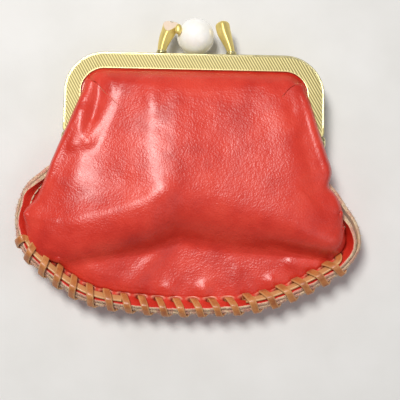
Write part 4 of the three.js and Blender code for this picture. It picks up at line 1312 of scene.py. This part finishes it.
def collar(side):
    """The little turned collar that a horn is soldered on by."""
    profile = [(0, 0), (2.0, 0), (2.12, 0.1), (2.1, 0.3), (1.75, 0.42), (1.7, 0.55), (1.95, 0.68),
               (2.0, 0.85), (1.9, 1.05), (1.6, 1.15), (0, 1.2)]
    x, _, z = HORN_SPINES[side][0]
    points, faces = lathe(profile, np.array([x, FRAME_TOP + CLEARANCE, z + 0.05]), (0, 1, 0), 40)
    return make_mesh(f"horn_collar_{SIDES[side]}", points, faces, [GOLD])


# ---- which piece stands for which part, and what it rides on ---------------------------------


def belongs(piece, body, slot, *nodes):
    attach(piece, body)
    if nodes:
        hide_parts(*nodes)
    return piece


belongs(front_metal, "front_half", "frame_gold", "front_frame")
belongs(back_metal, "pouch", "frame_gold", "back_frame")
belongs(packing(1), "front_half", "packing_paper", "front_packing_cord")
belongs(packing(-1), "pouch", "packing_paper", "back_packing_cord")
belongs(pearl_ball(), "pouch", "clasp_pearl", "clasp_ball")
for side, word in SIDES.items():
    belongs(rivet(side), "pouch", "frame_gold", f"hinge_rivet_{word}")
    belongs(horn(side), "front_half", "frame_gold", f"prong_{word}")
    belongs(collar(side), "front_half", "frame_gold", f"prong_foot_{word}")
    belongs(seam_thread(side), "pouch", "seam_thread", f"side_seam_thread_{word}")
belongs(lace, "pouch", "lace_leather", "edge_lace")
belongs(edge_fibres, "pouch", "red_leather")
belongs(back_leather, "pouch", "red_leather", "back_panel")

peg = frame["nodes"]["ball_peg"]
peg.data.materials.clear()
peg.data.materials.append(HORN_GOLD)


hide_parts("front_panel_upper", "front_panel_middle", "front_panel_lower")
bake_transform(front_leather)

# ---- stage, light and camera --------------------------------------------------------------

low, high = (np.array(corner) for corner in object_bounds())
middle = (low + high) / 2

# Metres in the frame. The key is a softbox to the upper left, the fill a broad one opposite.
KEY_PLACE, KEY_SIZE, KEY_ENERGY = (-0.13, 0.17, 0.58), (0.14, 0.22), 3.3
FILL_PLACE, FILL_SIZE, FILL_ENERGY = (0.42, -0.25, 0.50), (0.5, 0.5), 0.7
WARM_WHITE, COOL_WHITE = (1.0, 0.98, 0.95), (0.96, 0.98, 1.0)
ROOM_COLOUR, ROOM_STRENGTH = (0.86, 0.86, 0.88, 1), 0.24


def make_floor():
    bpy.ops.mesh.primitive_grid_add(size=3.0, x_subdivisions=2, y_subdivisions=2, location=(0, 0, 0))
    floor = bpy.context.object
    floor.name = "floor"
    floor.data.materials.append(paper_floor())
    floor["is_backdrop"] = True


def area_light(name, place, aim, size, energy, colour):
    data = bpy.data.lights.new(name, "AREA")
    data.shape, data.size, data.size_y = "RECTANGLE", size[0], size[1]
    data.energy, data.color = energy, colour
    light = bpy.data.objects.new(name, data)
    bpy.context.scene.collection.objects.link(light)
    light.location = place
    light.rotation_euler = (Vector(aim) - Vector(place)).to_track_quat("-Z", "Y").to_euler()


def make_world():
    world = bpy.data.worlds.new("studio")
    bpy.context.scene.world = world
    world.use_nodes = True
    background = world.node_tree.nodes["Background"]
    background.inputs["Color"].default_value = ROOM_COLOUR
    background.inputs["Strength"].default_value = ROOM_STRENGTH


VIEW_ELEVATION = 84.0
VIEW_ROLL = math.degrees(math.atan(0.022))  # the purse lies turned a little clockwise
VIEW_WIDTH = 151.7 * MM
VIEW_AIM = HINGE + (0.0031, -0.0237, 0.004)  # low on the belly, in metres
LENS, SENSOR = 70.0, 36.0


def make_camera():
    data = bpy.data.cameras.new("camera")
    data.lens, data.sensor_width = LENS, SENSOR
    camera = bpy.data.objects.new("camera", data)
    bpy.context.scene.collection.objects.link(camera)
    aim = Vector(VIEW_AIM)
    elevation = math.radians(VIEW_ELEVATION)
    back = Vector((0, -math.cos(elevation), math.sin(elevation)))
    distance = VIEW_WIDTH * LENS / SENSOR
    camera.location = aim + back * distance
    turn = (-back).to_track_quat("-Z", "Y")
    camera.rotation_mode = "QUATERNION"
    camera.rotation_quaternion = turn @ Quaternion((0, 0, 1), math.radians(VIEW_ROLL))
    data.clip_start, data.clip_end = 0.01, 10
    bpy.context.scene.camera = camera


make_floor()
make_world()
area_light("key", KEY_PLACE, middle, KEY_SIZE, KEY_ENERGY, WARM_WHITE)
area_light("fill", FILL_PLACE, middle, FILL_SIZE, FILL_ENERGY, COOL_WHITE)
make_camera()
bpy.context.scene.view_settings.view_transform = "Standard"
